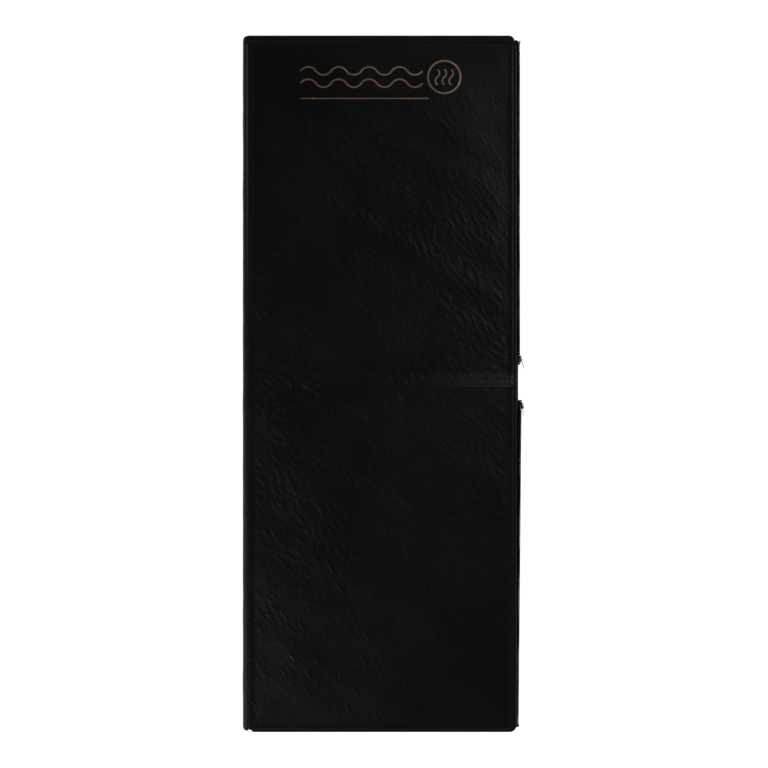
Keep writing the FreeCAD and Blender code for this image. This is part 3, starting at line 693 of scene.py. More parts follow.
def sweep(path, profile, guide, taper=None):
    # carries a closed 2-D profile along a path; guide is the profile's second direction
    path = np.asarray(path, float)
    ahead = unit(np.gradient(path, axis=0))
    up = np.broadcast_to(np.asarray(guide, float), path.shape)
    up = unit(up - (up * ahead).sum(1, keepdims=True) * ahead)
    side = np.cross(ahead, up)
    profile = np.asarray(profile, float)
    size = np.ones(len(path)) if taper is None else np.asarray(taper)
    points = (path[:, None, :] + size[:, None, None]
              * (profile[None, :, :1] * side[:, None, :] + profile[None, :, 1:] * up[:, None, :]))
    cols = len(profile)
    faces = gridFaces(len(path), cols, closed=True).tolist()
    faces.append(list(range(cols))[::-1])
    faces.append([(len(path) - 1) * cols + i for i in range(cols)])
    return points.reshape(-1, 3), faces


def ringProfile(radius, sides, flat=1.0):
    angle = np.linspace(0, 2 * math.pi, sides, endpoint=False)
    return np.stack([radius * np.cos(angle), radius * flat * np.sin(angle)], 1)


def softRectangle(width, height, radius, steps=3):
    x, y = width / 2 - radius, height / 2 - radius
    points = []
    for turn, centre in enumerate(((x, y), (-x, y), (-x, -y), (x, -y))):
        points += arc(centre, radius, radius, 90 * turn, 90 * turn + 90, steps + 1)
    return np.array(points)


def smoothStep(value, low, high):
    t = np.clip((value - low) / (high - low), 0, 1)
    return t * t * (3 - 2 * t)


def bell(value, centre, width):
    return np.exp(-((value - centre) / width) ** 2)


def wave(values, seed, lengths, count=5):
    # a sum of a few sines with seeded phases, from -1 to 1
    rng = np.random.default_rng(seed)
    total = np.zeros_like(np.asarray(values, float))
    for _ in range(count):
        total += np.sin(2 * math.pi * values / rng.uniform(*lengths) + rng.uniform(0, 6.28))
    return total / count


# the padded halves

skinShape = {
    "crown": 0.0026,            # how far the middle stands above the seams
    "crownReach": 0.085,
    "ripple": 0.0011,           # slow waves of the stuffing
    "rollZip": 0.0075,          # how far the leather rolls over at each side
    "rollFoot": 0.006,
    "rollSpine": 0.0012,
    "rollHem": 0.0042,
    "spineDip": 0.0024,         # the seam at the spine is deep near the neck and level at the foot
    "cornerZip": 0.013,
    "cornerSpine": 0.011,
    "grid": 0.0037,
    "fineGrid": 0.0016,         # along the storage crease
    "turnedIn": 0.006,
    "overHem": 0.0006,          # how far the skin runs in under the hem's end
    "cornerHem": 0.001,
    "fill": 0.45,
}
crumple = {
    "count": 6800, "seed": 11, "middle": -0.02, "spread": 0.37,
    "angle": -54, "angleSpread": 14,
    "length": (0.005, 0.014), "width": (0.0027, 0.0038), "height": (0.00020, 0.00066), "tallest": 0.0010,
}
storageCrease = {
    "ridges": ((0.0155, 0.0042, 0.0013), (0.0002, 0.0036, 0.0011)),   # place, width, height
    "swellFrom": 0.032, "swell": 0.0030,
    "edge": -0.0062, "edgeWidth": 0.0030,
    "fadeFrom": 0.03, "fadeTo": 0.33, "faintTo": -0.06,
}


def crumples(xs, ys, spec):
    rng = np.random.default_rng(spec["seed"])
    field = np.zeros((len(ys), len(xs)))
    for _ in range(spec["count"]):
        cx = rng.uniform(xs[0], xs[-1])
        cy = rng.normal(spec["middle"], spec["spread"])
        angle = math.radians(rng.normal(spec["angle"], spec["angleSpread"]))
        length = rng.uniform(*spec["length"])
        width = rng.uniform(*spec["width"])
        height = rng.uniform(*spec["height"])
        bend = rng.normal(0, 5.0)
        reach = 2.2 * length
        i0, i1 = np.searchsorted(ys, [cy - reach, cy + reach])
        j0, j1 = np.searchsorted(xs, [cx - reach, cx + reach])
        if i1 - i0 < 3 or j1 - j0 < 3:
            continue
        dx, dy = np.meshgrid(xs[j0:j1] - cx, ys[i0:i1] - cy)
        along = dx * math.cos(angle) + dy * math.sin(angle)
        across = (-dx * math.sin(angle) + dy * math.cos(angle) + bend * along ** 2) / width
        fade = np.exp(-(along / length) ** 2 - across ** 2)
        field[i0:i1, j0:j1] += height * fade * (1 - across ** 2)
    return spec["tallest"] * np.tanh(field / spec["tallest"])   # crossing folds don't stack into a peak


def creaseHeight(x, y, spec):
    # a fold left by storing the blanket: it runs in from the zip side and fades out
    strong = smoothStep(x, spec["fadeFrom"], spec["fadeTo"])
    faint = 0.16 * smoothStep(x, spec["faintTo"], spec["fadeFrom"])
    height = 0.0
    for place, width, tall in spec["ridges"]:
        wander = 0.0012 * np.sin(x * 31 + place * 400)
        height = height + tall * bell(y, place + wander, width)
    above = np.clip((spec["swellFrom"] - y) / (spec["swellFrom"] - spec["edge"]), 0, 1) ** 1.15
    height = height + spec["swell"] * above
    height = height * smoothStep(y, spec["edge"] - spec["edgeWidth"], spec["edge"] + spec["edgeWidth"])
    return height * (strong + faint)


def spreadLine(low, high, step, extra=()):
    near = np.array([0, 0.0003, 0.0008, 0.0015, 0.0024, 0.0035, 0.0050, 0.0070, 0.0095, 0.0125])
    middle = np.linspace(low + 0.016, high - 0.016, max(2, int(round((high - low - 0.032) / step)) + 1))
    line = np.concatenate([low + near, middle, high - near, np.asarray(extra, float)])
    line = np.unique(np.round(line, 6))
    keep = [line[0]]
    for value in line[1:-1]:
        if value - keep[-1] > 0.00025:
            keep.append(value)
    return np.array(keep + [line[-1]])


def roundCorners(x, y, box, radii):
    # presses the square corners of a grid into round ones; radii start at the low corner and go round
    x0, x1, y0, y1 = box
    x, y = x.copy(), y.copy()
    corners = ((x0, y0, 1, 1), (x1, y0, -1, 1), (x1, y1, -1, -1), (x0, y1, 1, -1))
    for (cx, cy, sx, sy), r in zip(corners, radii):
        u = 1 - (x - cx) * sx / r
        v = 1 - (y - cy) * sy / r
        inside = (u > 0) & (v > 0)
        uu, vv = u[inside], v[inside]
        x[inside] = cx + sx * r * (1 - uu * np.sqrt(1 - vv ** 2 / 2))
        y[inside] = cy + sy * r * (1 - vv * np.sqrt(1 - uu ** 2 / 2))
    return x, y


def edgeDistance(x, y, box, radii):
    x0, x1, y0, y1 = box
    left, right, below, above = x - x0, x1 - x, y - y0, y1 - y
    distance = np.minimum(np.minimum(left, right), np.minimum(below, above))
    for a, b, r in zip((left, right, right, left), (below, below, above, above), radii):
        inside = (a < r) & (b < r)
        distance = np.where(inside, r - np.hypot(r - a, r - b), distance)
    return np.maximum(distance, 0), (left, right, below, above)


def paddedSkin(box, radii, rolls, top, rim, lift, grid, turnedIn, extraY=()):
    # a leather skin over its stuffing: a shaped top, rolled sides and an edge turned in under the lining
    xs = spreadLine(box[0], box[1], grid)
    ys = spreadLine(box[2], box[3], grid, extraY)
    flatX, flatY = np.meshgrid(xs, ys)
    x, y = roundCorners(flatX, flatY, box, radii)
    distance, sides = edgeDistance(x, y, box, radii)
    weights = [1 / (side + 0.002) ** 2 for side in sides]
    roll = sum(w * r for w, r in zip(weights, rolls)) / sum(weights)
    depth = np.clip(roll - distance, 0, roll)
    drop = roll - np.sqrt(np.maximum(roll ** 2 - depth ** 2, 0))
    height = lift(x, y, distance, xs, ys)
    points = [np.stack([x, y, top - drop + height], -1).reshape(-1, 3)]
    rows, cols = x.shape
    loop = rimLoop(rows, cols)
    edge = points[0][loop]
    ahead = np.roll(edge, -1, 0) - np.roll(edge, 1, 0)
    outward = unit(np.stack([ahead[:, 1], -ahead[:, 0], np.zeros(len(ahead))], 1))
    start = edge[:, 2]
    bulges = [(0.25, 0.0005), (0.55, 0.0007), (0.8, 0.0005), (0.94, 0.0), (1.0, -0.0008), (1.0, -turnedIn)]
    for part, bulge in bulges:
        ring = edge + outward * bulge
        ring[:, 2] = start + (rim - start) * part
        points.append(ring)
    faces = gridFaces(rows, cols).tolist()
    previous = loop
    for ring in range(len(bulges)):
        current = rows * cols + ring * len(loop) + np.arange(len(loop))
        faces += np.stack([previous, current, np.roll(current, -1), np.roll(previous, -1)], 1).tolist()
        previous = current
    return np.concatenate(points), faces


clothRun = {
    "evenOut": 0.85, "evenFloor": 0.35, "evenPasses": 90,           # how evenly the folds are shared out
    "middle": 0.0, "calmFrom": 0.42, "calmTo": 0.72, "calm": 0.7,   # and how they die away at both ends
    "slowPasses": 60, "swell": 0.0012, "seed": 17, "start": 0.00025,
    "grid": 0.0080, "thick": 0.010, "frames": 24,
    "spare": 0.004,       # how much larger than its seams the leather was cut
    "skew": 0.030,        # how far the two halves were pulled askew when sewn
    "pressure": 4.0, "tension": 22, "bending": 0.35, "mass": 0.35,
    "cap": 0.0030, "share": 0.6,
}


def setCloth(sheet, spec, cut):
    cloth = sheet.modifiers.new("cloth", "CLOTH")
    settings = {
        "quality": 6, "mass": spec["mass"], "tension_stiffness": spec["tension"],
        "compression_stiffness": spec["tension"], "shear_stiffness": spec["tension"] * 0.6,
        "bending_stiffness": spec["bending"], "vertex_group_mass": "held", "rest_shape_key": cut,
        "use_pressure": True, "uniform_pressure_force": spec["pressure"],
    }
    for key, value in settings.items():
        setattr(cloth.settings, key, value)
    cloth.settings.effector_weights.gravity = 0
    cloth.collision_settings.use_collision = False
    cloth.point_cache.frame_start = 1
    cloth.point_cache.frame_end = spec["frames"]


def settleCloth(box, spec):
    # the skin held at its seams over its stuffing; returns its places and how far each point rose
    cols = int(round((box[1] - box[0]) / spec["grid"])) + 1
    rows = int(round((box[3] - box[2]) / spec["grid"])) + 1
    xs, ys = np.linspace(box[0], box[1], cols), np.linspace(box[2], box[3], rows)
    x, y = np.meshgrid(xs, ys)
    z = np.random.default_rng(spec["seed"]).normal(0, spec["start"], x.shape)   # so that it can buckle
    z[[0, -1], :] = 0
    z[:, [0, -1]] = 0
    points = np.stack([x, y, z], -1).reshape(-1, 3)
    loop = rimLoop(rows, cols)
    faces = gridFaces(rows, cols).tolist()
    bottom = len(points)
    points = np.vstack([points, [[(box[0] + box[1]) / 2, (box[2] + box[3]) / 2, -spec["thick"]]]])
    faces += [[int(b), int(a), bottom] for a, b in zip(loop, np.roll(loop, -1))]
    mesh = bpy.data.meshes.new("settling")
    mesh.from_pydata(points.tolist(), [], faces)
    sheet = bpy.data.objects.new("settling", mesh)
    scene.collection.objects.link(sheet)
    held = sheet.vertex_groups.new(name="held")
    held.add([int(i) for i in loop] + [bottom], 1.0, "REPLACE")
    sheet.shape_key_add(name="asLaid")
    cut = sheet.shape_key_add(name="asCut")
    spare = 1 + spec["spare"]
    cutPoints = points.copy()
    cutPoints[:, 0] = points[:, 0] * spare + spec["skew"] * points[:, 1]
    cutPoints[:, 1] = points[:, 1] * spare
    cut.data.foreach_set("co", cutPoints.ravel())
    cut.value = 0.0
    setCloth(sheet, spec, cut)
    for number in range(1, spec["frames"] + 1):
        scene.frame_set(number)
    settled = sheet.evaluated_get(bpy.context.evaluated_depsgraph_get()).to_mesh()
    out = np.zeros(len(points) * 3)
    settled.vertices.foreach_get("co", out)
    rise = out.reshape(-1, 3)[:bottom, 2].reshape(rows, cols)
    scene.frame_set(1)
    bpy.data.objects.remove(sheet)
    bpy.data.meshes.remove(mesh)
    print("cloth settled", cols, rows, "rise", round(float(rise.min()), 5), round(float(rise.max()), 5),
          "spread", round(float(rise.std()), 5))
    return xs, ys, rise


def onGrid(xs, ys, field, x, y):
    # the field's value at any places between its points
    i = np.clip(np.searchsorted(xs, x) - 1, 0, len(xs) - 2)
    j = np.clip(np.searchsorted(ys, y) - 1, 0, len(ys) - 2)
    u = np.clip((x - xs[i]) / (xs[i + 1] - xs[i]), 0, 1)
    v = np.clip((y - ys[j]) / (ys[j + 1] - ys[j]), 0, 1)
    u, v = u * u * (3 - 2 * u), v * v * (3 - 2 * v)
    return ((1 - v) * ((1 - u) * field[j, i] + u * field[j, i + 1])
            + v * ((1 - u) * field[j + 1, i] + u * field[j + 1, i + 1]))


def smoothed(field, passes):
    for _ in range(passes):
        padded = np.pad(field, 1, mode="edge")
        field = (padded[:-2, 1:-1] + padded[2:, 1:-1] + padded[1:-1, :-2] + padded[1:-1, 2:]) / 4
    return field


def clothRelief(box):
    # fine folds are what the cloth does apart from its slow rise, which the crown already gives
    xs, ys, rise = settleCloth(box, clothRun)
    slow = smoothed(rise, clothRun["slowPasses"])
    folds = rise - slow
    # the folds are shared out more evenly, with the two ends calmer than the middle
    local = np.sqrt(smoothed(folds ** 2, clothRun["evenPasses"]))
    evened = folds * local.mean() / (local + clothRun["evenFloor"] * local.mean())
    folds = folds + clothRun["evenOut"] * (evened - folds)
    away = smoothStep(np.abs(ys - clothRun["middle"]), clothRun["calmFrom"], clothRun["calmTo"])
    folds = folds * (1 - clothRun["calm"] * away)[:, None]
    swell = slow - np.median(slow)
    relief = folds * clothRun["share"] + clothRun["swell"] * np.tanh(swell / 0.004)
    return xs, ys, clothRun["cap"] * np.tanh(relief / clothRun["cap"])


def addCoverSkin():
    shell = skinShape
    low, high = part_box("cover_outer_shell")
    box = (low.x, high.x, low.y, high.y + shell["overHem"])
    radii = (shell["cornerSpine"], shell["cornerZip"], shell["cornerHem"], shell["cornerHem"])
    rolls = (shell["rollSpine"], shell["rollZip"], shell["rollFoot"], shell["rollHem"])
    relief = clothRelief(box)

    def lift(x, y, distance, xs, ys):
        crown = shell["crown"] * (1 - np.exp(-distance / shell["crownReach"]))
        slow = (wave(x * 0.8 + y * 0.35, 3, (0.19, 0.42)) + wave(y * 0.9 - x * 0.4, 4, (0.16, 0.38))
                + 0.8 * wave(x * 0.5 + y * 0.9, 5, (0.08, 0.15)))   # three slow waves that cross
        calm = smoothStep(distance, 0.004, 0.06)
        crown = crown - shell["spineDip"] * bell(x, box[0], 0.0040) * smoothStep(y, -0.1, 0.7)
        folds = crumples(xs, ys, crumple) * smoothStep(distance, 0.004, 0.03)
        if relief:
            folds = folds + onGrid(*relief, x, y) * smoothStep(distance, 0.003, 0.02)
        return (crown + shell["ripple"] * slow * calm + folds
                + creaseHeight(x, y, storageCrease) * smoothStep(distance, 0.0005, 0.012))

    extra = np.arange(-0.013, 0.022, shell["fineGrid"])
    points, faces = paddedSkin(box, radii, rolls, high.z, low.z - 0.0004, lift, shell["grid"],
                               shell["turnedIn"], extra)
    skin = addPiece("coverSkin", points, faces, "coverLeather", "cover", "outer_leather",
                    ["cover_outer_shell"])
    print("cover skin", len(points))
    return skin


coverTree = treeOf(addCoverSkin())

baseRolls = (0.0012, 0.0035, 0.0035, 0.002)   # spine, zip, foot and neck
baseGrid = 0.009


def addBaseSkin():
    shell = skinShape
    low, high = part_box("base_outer_shell")
    box = (low.x, high.x, low.y, high.y + shell["overHem"])
    radii = (shell["cornerSpine"], shell["cornerZip"], shell["cornerHem"], shell["cornerHem"])

    def lift(x, y, distance, xs, ys):
        # resting flat, so only the strip near the rim leaves the floor
        return -0.0004 * bell(distance, 0.010, 0.008) * (1 + wave(x + y, 8, (0.05, 0.13)))

    points, faces = turnOver(*paddedSkin(box, radii, baseRolls, 0.0, -high.z - 0.0004, lift, baseGrid,
                                         shell["turnedIn"]), -1)
    skin = addPiece("baseSkin", points, faces, "baseLeather", "base", "outer_leather", ["base_outer_shell"])
    print("base skin", len(points))


addBaseSkin()


# felt padding inside each half

paddingShape = {
    "inset": 0.0026, "below": 0.0018, "roll": 0.0085, "corner": 0.012, "grid": 0.016, "fill": 0.8,
    "seamDip": 0.0045, "seamWidth": 0.0075, "ripple": 0.0004,   # it is squeezed flat along the hem
}


def addPadding(side):
    shape = paddingShape
    low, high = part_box(side + "_insulation_pad")
    skinLow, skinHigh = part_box(side + "_outer_shell")
    way = 1 if side == "cover" else -1
    top = (skinHigh.z - shape["below"]) if side == "cover" else -(skinLow.z + shape["below"] - 0.0006)
    rim = low.z + 0.0001 if side == "cover" else -high.z + 0.0001
    inset = shape["inset"]
    box = (skinLow.x + inset, skinHigh.x - inset, skinLow.y + inset, high.y - 0.004)
    rolls = [min(shape["roll"], abs(top - rim) - 0.0004)] * 4

    def lift(x, y, distance, xs, ys):
        seam = -shape["seamDip"] * bell(y, skinHigh.y, shape["seamWidth"])
        ripple = shape["ripple"] * wave(x + 0.6 * y, 61, (0.05, 0.2))
        return seam + ripple * smoothStep(distance, 0.01, 0.05)

    nearHem = np.arange(0.868, 0.892, 0.002)
    points, faces = turnOver(*paddedSkin(box, [shape["corner"]] * 4, rolls, top, rim, lift, shape["grid"],
                                         0.0, nearHem), way)
    pad = addPiece(side + "Padding", points, faces, "insulationFelt", side, "insulation_felt",
                   [side + "_insulation_pad"])


for side in ("base", "cover"):
    addPadding(side)


# linings, with the heater runs showing faintly through them

liningShape = {
    "runPitch": 0.045, "runHeight": 0.00045, "runWidth": 0.0075,
    "runFrom": -0.316, "runTo": 0.303, "lastRun": 0.81,
    "slack": 0.00022, "seamInset": 0.0085, "seamDip": 0.0005,
    "corners": (0.011, 0.013, 0.001, 0.001), "roll": 0.0007, "thick": 0.0008, "grid": 0.0065,
    "stitchPitch": 0.0055, "stitchRadius": 0.0003,
}


def addLining(side):
    shape = liningShape
    low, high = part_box(side + "_inner_lining")
    way = 1 if side == "base" else -1
    top = high.z if side == "base" else -low.z
    box = (low.x, high.x, low.y, high.y)

    def lift(x, y, distance, xs, ys):
        nearest = np.round(y / shape["runPitch"]) * shape["runPitch"]
        inField = (smoothStep(x, shape["runFrom"], shape["runFrom"] + 0.02)
                   * smoothStep(-x, -shape["runTo"], -shape["runTo"] + 0.02)
                   * (np.abs(nearest) < shape["lastRun"] + 0.02) * (np.abs(nearest) > 0.02))
        runs = shape["runHeight"] * bell(y, nearest, shape["runWidth"]) * inField
        seam = -shape["seamDip"] * bell(distance, shape["seamInset"], 0.0022)
        slack = shape["slack"] * (wave(x + 0.4 * y, 71, (0.03, 0.12)) + wave(y - 0.5 * x, 72, (0.04, 0.15)))
        slack = slack * smoothStep(distance, 0.002, 0.03)
        return (runs + seam + slack) * smoothStep(distance, 0.0002, 0.004)

    points, faces = turnOver(*paddedSkin(box, shape["corners"], (shape["roll"],) * 4, top,
                                         top - shape["thick"], lift, shape["grid"], shape["thick"] / 2), way)
    lining = addPiece(side + "Lining", points, faces, "liningLeather", side, "lining_leather",
                      [side + "_inner_lining"])
    stitchRun(side + "LiningStitches", side, box, shape["seamInset"], top - shape["thick"] / 2, way)


def stitchRun(name, side, box, inset, z, way):
    # one row of single stitches round a lining, a little inside its edge
    x0, x1, y0, y1 = box[0] + inset, box[1] - inset, box[2] + inset, box[3] - inset
    parts = []
    for start, end in (((x0, y0), (x1, y0)), ((x1, y0), (x1, y1)), ((x0, y1), (x0, y0))):
        start, end = np.array(start), np.array(end)
        count = int(np.linalg.norm(end - start) / liningShape["stitchPitch"])
        ahead = (end - start) / count
        for i in range(count):
            t = np.linspace(0.18, 0.82, 5)[:, None]
            flat = start + ahead * (i + t)
            rise = 0.00042 - 0.0005 * ((t - 0.5) / 0.32) ** 4
            path = np.concatenate([flat, way * (z + rise)], 1)
            parts.append(sweep(path, ringProfile(liningShape["stitchRadius"], 5), (0, 0, way)))
    addPiece(name, *joinParts(parts), "thread", side, "thread")


for side in ("base", "cover"):
    addLining(side)
print("padding and linings ready")


# hem bands at the neck

hemShape = {
    "puff": 0.0012, "edge": 0.0011, "corner": 0.016, "step": 0.002,
    "roll": 0.0042, "innerRoll": 0.003,
    "pucker": 0.00018, "puckerPitch": 0.005,   # drawn in between the stitches
    "slack": 0.0006, "stitchFrom": 0.0034, "stitchDent": 0.0007,
}
hemStitch = {"pitch": 0.005, "share": 0.36, "radius": 0.00034, "rise": 0.00034, "seed": 31}


def addHem(side):
    # one leather strip folded round the neck end of a half
    low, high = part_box(side + "_neck_hem")
    outer, inner = (high.z, low.z) if side == "cover" else (low.z, high.z)
    way = 1 if side == "cover" else -1
    shape, cover = hemShape, side == "cover"
    corner, roll, inside = shape["corner"], shape["roll"], shape["innerRoll"]
    fold = shape["edge"] if cover else 0
    seam = low.y + shape["stitchFrom"]
    rows = []
    for x in np.arange(low.x, high.x + 1e-6, shape["step"]):
        cut = max(0.0, corner - (high.x - x))
        end = high.y - (corner - math.sqrt(max(corner ** 2 - cut ** 2, 0.0)))
        pucker = shape["pucker"] * math.cos(2 * math.pi * (x - low.x) / shape["puckerPitch"])
        slack = shape["slack"] * float(wave(np.array(x), 21, (0.05, 0.16)))
        puff = shape["puff"] + slack if cover else slack * 0.2
        profile = [(low.y + 0.0006, outer - way * 0.0030), (low.y + 0.0012, outer - way * 0.0014),
                   (low.y + 0.0020, outer + way * (fold * 0.2 - 0.0002) + pucker)]
        flatEnd = end - roll
        for t in np.linspace(0, 1, 14)[1:]:
            y = low.y + 0.0020 + (flatEnd - low.y - 0.0020) * t
            lift = puff * math.sin(math.pi * min(1.0, t * 0.9 + 0.12)) + pucker * bell(y, seam, 0.003)
            dent = -shape["stitchDent"] * bell(y, seam, 0.0011) if cover else 0.0
            profile.append((y, outer + way * (max(lift, 0.0) + dent) * (1 if cover else 0.1)))
        profile += arc((flatEnd, outer - way * roll), roll, way * roll, 75, 0, 6)
        profile += arc((end - inside, inner + way * inside), inside, -way * inside, 0, 80, 6)
        profile += [(end - 0.006, inner), (low.y + 0.002, inner), (low.y + 0.0004, inner + way * 0.0008)]
        rows.append([(x, y, z) for y, z in profile])
    points = np.array(rows).reshape(-1, 3)
    cols = len(rows[0])
    faces = gridFaces(len(rows), cols, closed=True).tolist()
    faces += [list(range(cols))[::-1], [(len(rows) - 1) * cols + i for i in range(cols)]]
    if cover:
        faces = [face[::-1] for face in faces]
    return addPiece(side + "HemBand", points, faces, "trimLeather", side, "outer_leather",
                    [side + "_neck_hem"])


def addHemStitches(hem):
    low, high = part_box("cover_hem_thread")
    count = round((high.x - low.x) / hemStitch["pitch"])
    pitch = (high.x - low.x) / count
    y = (low.y + high.y) / 2
    rng = np.random.default_rng(hemStitch["seed"])
    parts = []
    hemTree = treeOf(hem)
    t = np.linspace(-1, 1, 7)
    for i in range(count):
        x = low.x + (i + 0.5) * pitch
        z = topOf(hemTree, x, y, high.z) + hemStitch["rise"]
        path = np.stack([x + hemStitch["share"] * pitch * t, y + rng.normal(0, 0.00008) + 0 * t,
                         z - 0.0006 * t ** 4], 1)
        parts.append(sweep(path, ringProfile(hemStitch["radius"], 7), (0, 0, 1),
                           np.sqrt(np.clip(1.04 - t ** 6, 0.05, 1))))
    addPiece("coverHemStitches", *joinParts(parts), "thread", "cover", "thread", ["cover_hem_thread"])


addHemStitches(addHem("cover"))
addHem("base")
print("hems ready")


# spine: the leather that carries on round the closed side, its lining and its cable

spineShape = {
    "bend": 0.0128, "turns": 11, "thick": 0.0010, "step": 0.006,
    "tail": 0.0030,           # how far each edge runs in under its skin
    "joinAt": 0.0035,         # how much of each edge moves with its half
    "endReach": 0.0055, "endRound": 0.011, "gather": 0.45,
    "slack": 0.0007, "proud": 0.0010, "dip": 0.0024,
}


def addSpine():
    shape = spineShape
    low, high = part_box("spine_strip")
    r = shape["bend"]
    outline = arc((high.x, low.z + r), r, r, 270, 180, shape["turns"])
    outline += [(low.x, low.z + r + (high.z - low.z - 2 * r) * t) for t in np.linspace(0, 1, 6)[1:-1]]
    outline += arc((high.x, high.z - r), r, r, 180, 90, shape["turns"])
    # both edges run a little way in, under the skins that they are sewn to
    tail = high.x + shape["tail"]
    outline = np.array([(tail, low.z + 0.0013), *outline, (tail, high.z - 0.0018)])
    middle = (low.z + high.z) / 2
    outward = unit(np.stack([outline[:, 0] - (high.x + 0.005), outline[:, 1] - middle], 1))
    inner = outline - outward * shape["thick"]
    start, end = low.y - shape["endReach"], high.y + shape["endReach"] * 0.6
    ends = np.array([0, 0.0004, 0.0012, 0.0024, 0.0040, 0.0060, 0.0090])
    ys = np.concatenate([start + ends, np.arange(start + 0.014, end - 0.014, shape["step"]),
                         end - ends[::-1]])
    slack = wave(ys, 41, (0.06, 0.30)) * shape["slack"]
    rows = []
    for y, ease in zip(ys, slack):
        # the roll stands up most near the neck and lies flatter towards the foot
        proud = shape["proud"] * float(smoothStep(y, 0.1, 0.7))
        dip = shape["dip"] * float(smoothStep(y, -0.1, 0.7))
        lift = bell(outline[:, 1], high.z, 0.010)
        out = outline + outward * (ease * bell(outline[:, 1], middle, 0.012))[:, None]
        out[:, 1] -= dip * bell(outline[:, 0], high.x, 0.0024) * (outline[:, 1] > middle)
        out[:, 1] += proud * lift * np.sin(np.clip((high.x - outline[:, 0]) / r, 0, 1) * math.pi)
        # the ends are gathered round into the seam
        close = min(y - start, end - y) / shape["endRound"]
        pull = math.sqrt(1 - (1 - min(close, 1.0)) ** 2) * (1 - shape["gather"]) + shape["gather"]
        ring = np.concatenate([out, (inner + (out - outline))[::-1]])
        ring[:, 0] = high.x - (high.x - ring[:, 0]) * pull
        rows.append(np.stack([ring[:, 0], np.full(len(ring), y), ring[:, 1]], 1))
    points = np.array(rows).reshape(-1, 3)
    cols = len(rows[0])
    faces = gridFaces(len(rows), cols, closed=True).tolist() + bandCaps(len(rows), cols)
    spine = addPiece("spineRoll", points, faces, "coverLeather", None, "outer_leather", ["spine_strip"])
    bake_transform(spine)


def copyNode(name, node, finish):
    # a looks piece with the CAD node's own form, so that it can be shaped
    piece = frame["nodes"][node].copy()
    piece.data = frame["nodes"][node].data.copy()
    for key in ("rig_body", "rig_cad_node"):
        if key in piece:
            del piece[key]
    piece.parent = None
    piece.name = name
    piece.data.name = name
    scene.collection.objects.link(piece)
    piece.data.materials.clear()
    piece.data.materials.append(finishes[finish])
    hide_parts(node)
    return piece


addSpine()
for pieceName, node, finish, slot, joinLow, joinHigh in (
    ("spineLining", "spine_lining_strip", "liningLeather", "lining_leather", 0.0126, 0.0198),
    ("spineCable", "spine_cable_loop", "wireRubber", "wire_rubber", 0.0103, 0.0221),
):
    piece = copyNode(pieceName, node, finish)
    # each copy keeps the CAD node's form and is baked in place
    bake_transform(piece)
print("spine ready")


# piping round the cover's edge

pipingShape = {
    "tuck": 0.018, "radius": 0.0022, "bend": 0.0152, "step": 0.006, "sides": 14,
    "sway": 0.00035, "lift": 0.0004,
    "welt": (0.0044, 0.0012, 0.0005), "weltIn": 0.0032, "weltDown": 0.0010,
}


def addPiping():
    low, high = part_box("cover_edge_piping")
    r, bend = pipingShape["radius"], pipingShape["bend"]
    x, y, z = high.x - r, low.y + r, (low.z + high.z) / 2
    # its start is tucked in under the hem band
    tuck = pipingShape["tuck"]
    run = [(x - tuck * (1 - math.sin(t)), high.y - 0.012 + tuck * math.cos(t))
           for t in np.linspace(0.16, 1.5, 9)]
    run += [(x, py) for py in np.arange(high.y - 0.013, y + bend, -pipingShape["step"])]
    run += arc((x - bend, y + bend), bend, -bend, 0, 90, 14)
    run += [(px, y) for px in np.arange(x - bend - pipingShape["step"], low.x, -pipingShape["step"])]
    run = np.array(run)
    far = np.concatenate([[0], np.cumsum(np.linalg.norm(np.diff(run, axis=0), axis=1))])
    sway = pipingShape["sway"] * np.abs(wave(far, 51, (0.05, 0.22)))
    lift = pipingShape["lift"] * wave(far, 52, (0.07, 0.25))
    path = np.stack([run[:, 0] - sway, run[:, 1] + sway * (run[:, 1] < y + 0.004), z + lift], 1)
    # a bead with its flat welt running back into the seam
    bead = sweep(path, ringProfile(r, pipingShape["sides"]), (0, 0, 1))
    ahead = unit(np.gradient(path, axis=0))
    inside = np.cross(ahead, (0, 0, 1.0)) * (1 if np.cross(ahead[0], (0, 0, 1.0))[0] < 0 else -1)
    weltPath = path + inside * pipingShape["weltIn"] - np.array([0, 0, pipingShape["weltDown"]])
    welt = sweep(weltPath, softRectangle(*pipingShape["welt"], 2), (0, 0, 1))
    addPiece("coverPiping", *joinParts([bead, welt]), "trimLeather", "cover", "outer_leather",
             ["cover_edge_piping"])


addPiping()
print("piping ready")


# zips

zipShape = {
    "width": 0.0026, "pitch": 0.0024, "wire": 0.00052, "core": 0.00062, "turnPoints": 10, "wireSides": 6,
}


def coilSlope(low, high):
    # how much a zip runs out of line with the blanket, from the box of its coil
    across = high.x - low.x
    return (across - zipShape["width"]) / (high.y - low.y) if across > 0.004 else 0.0


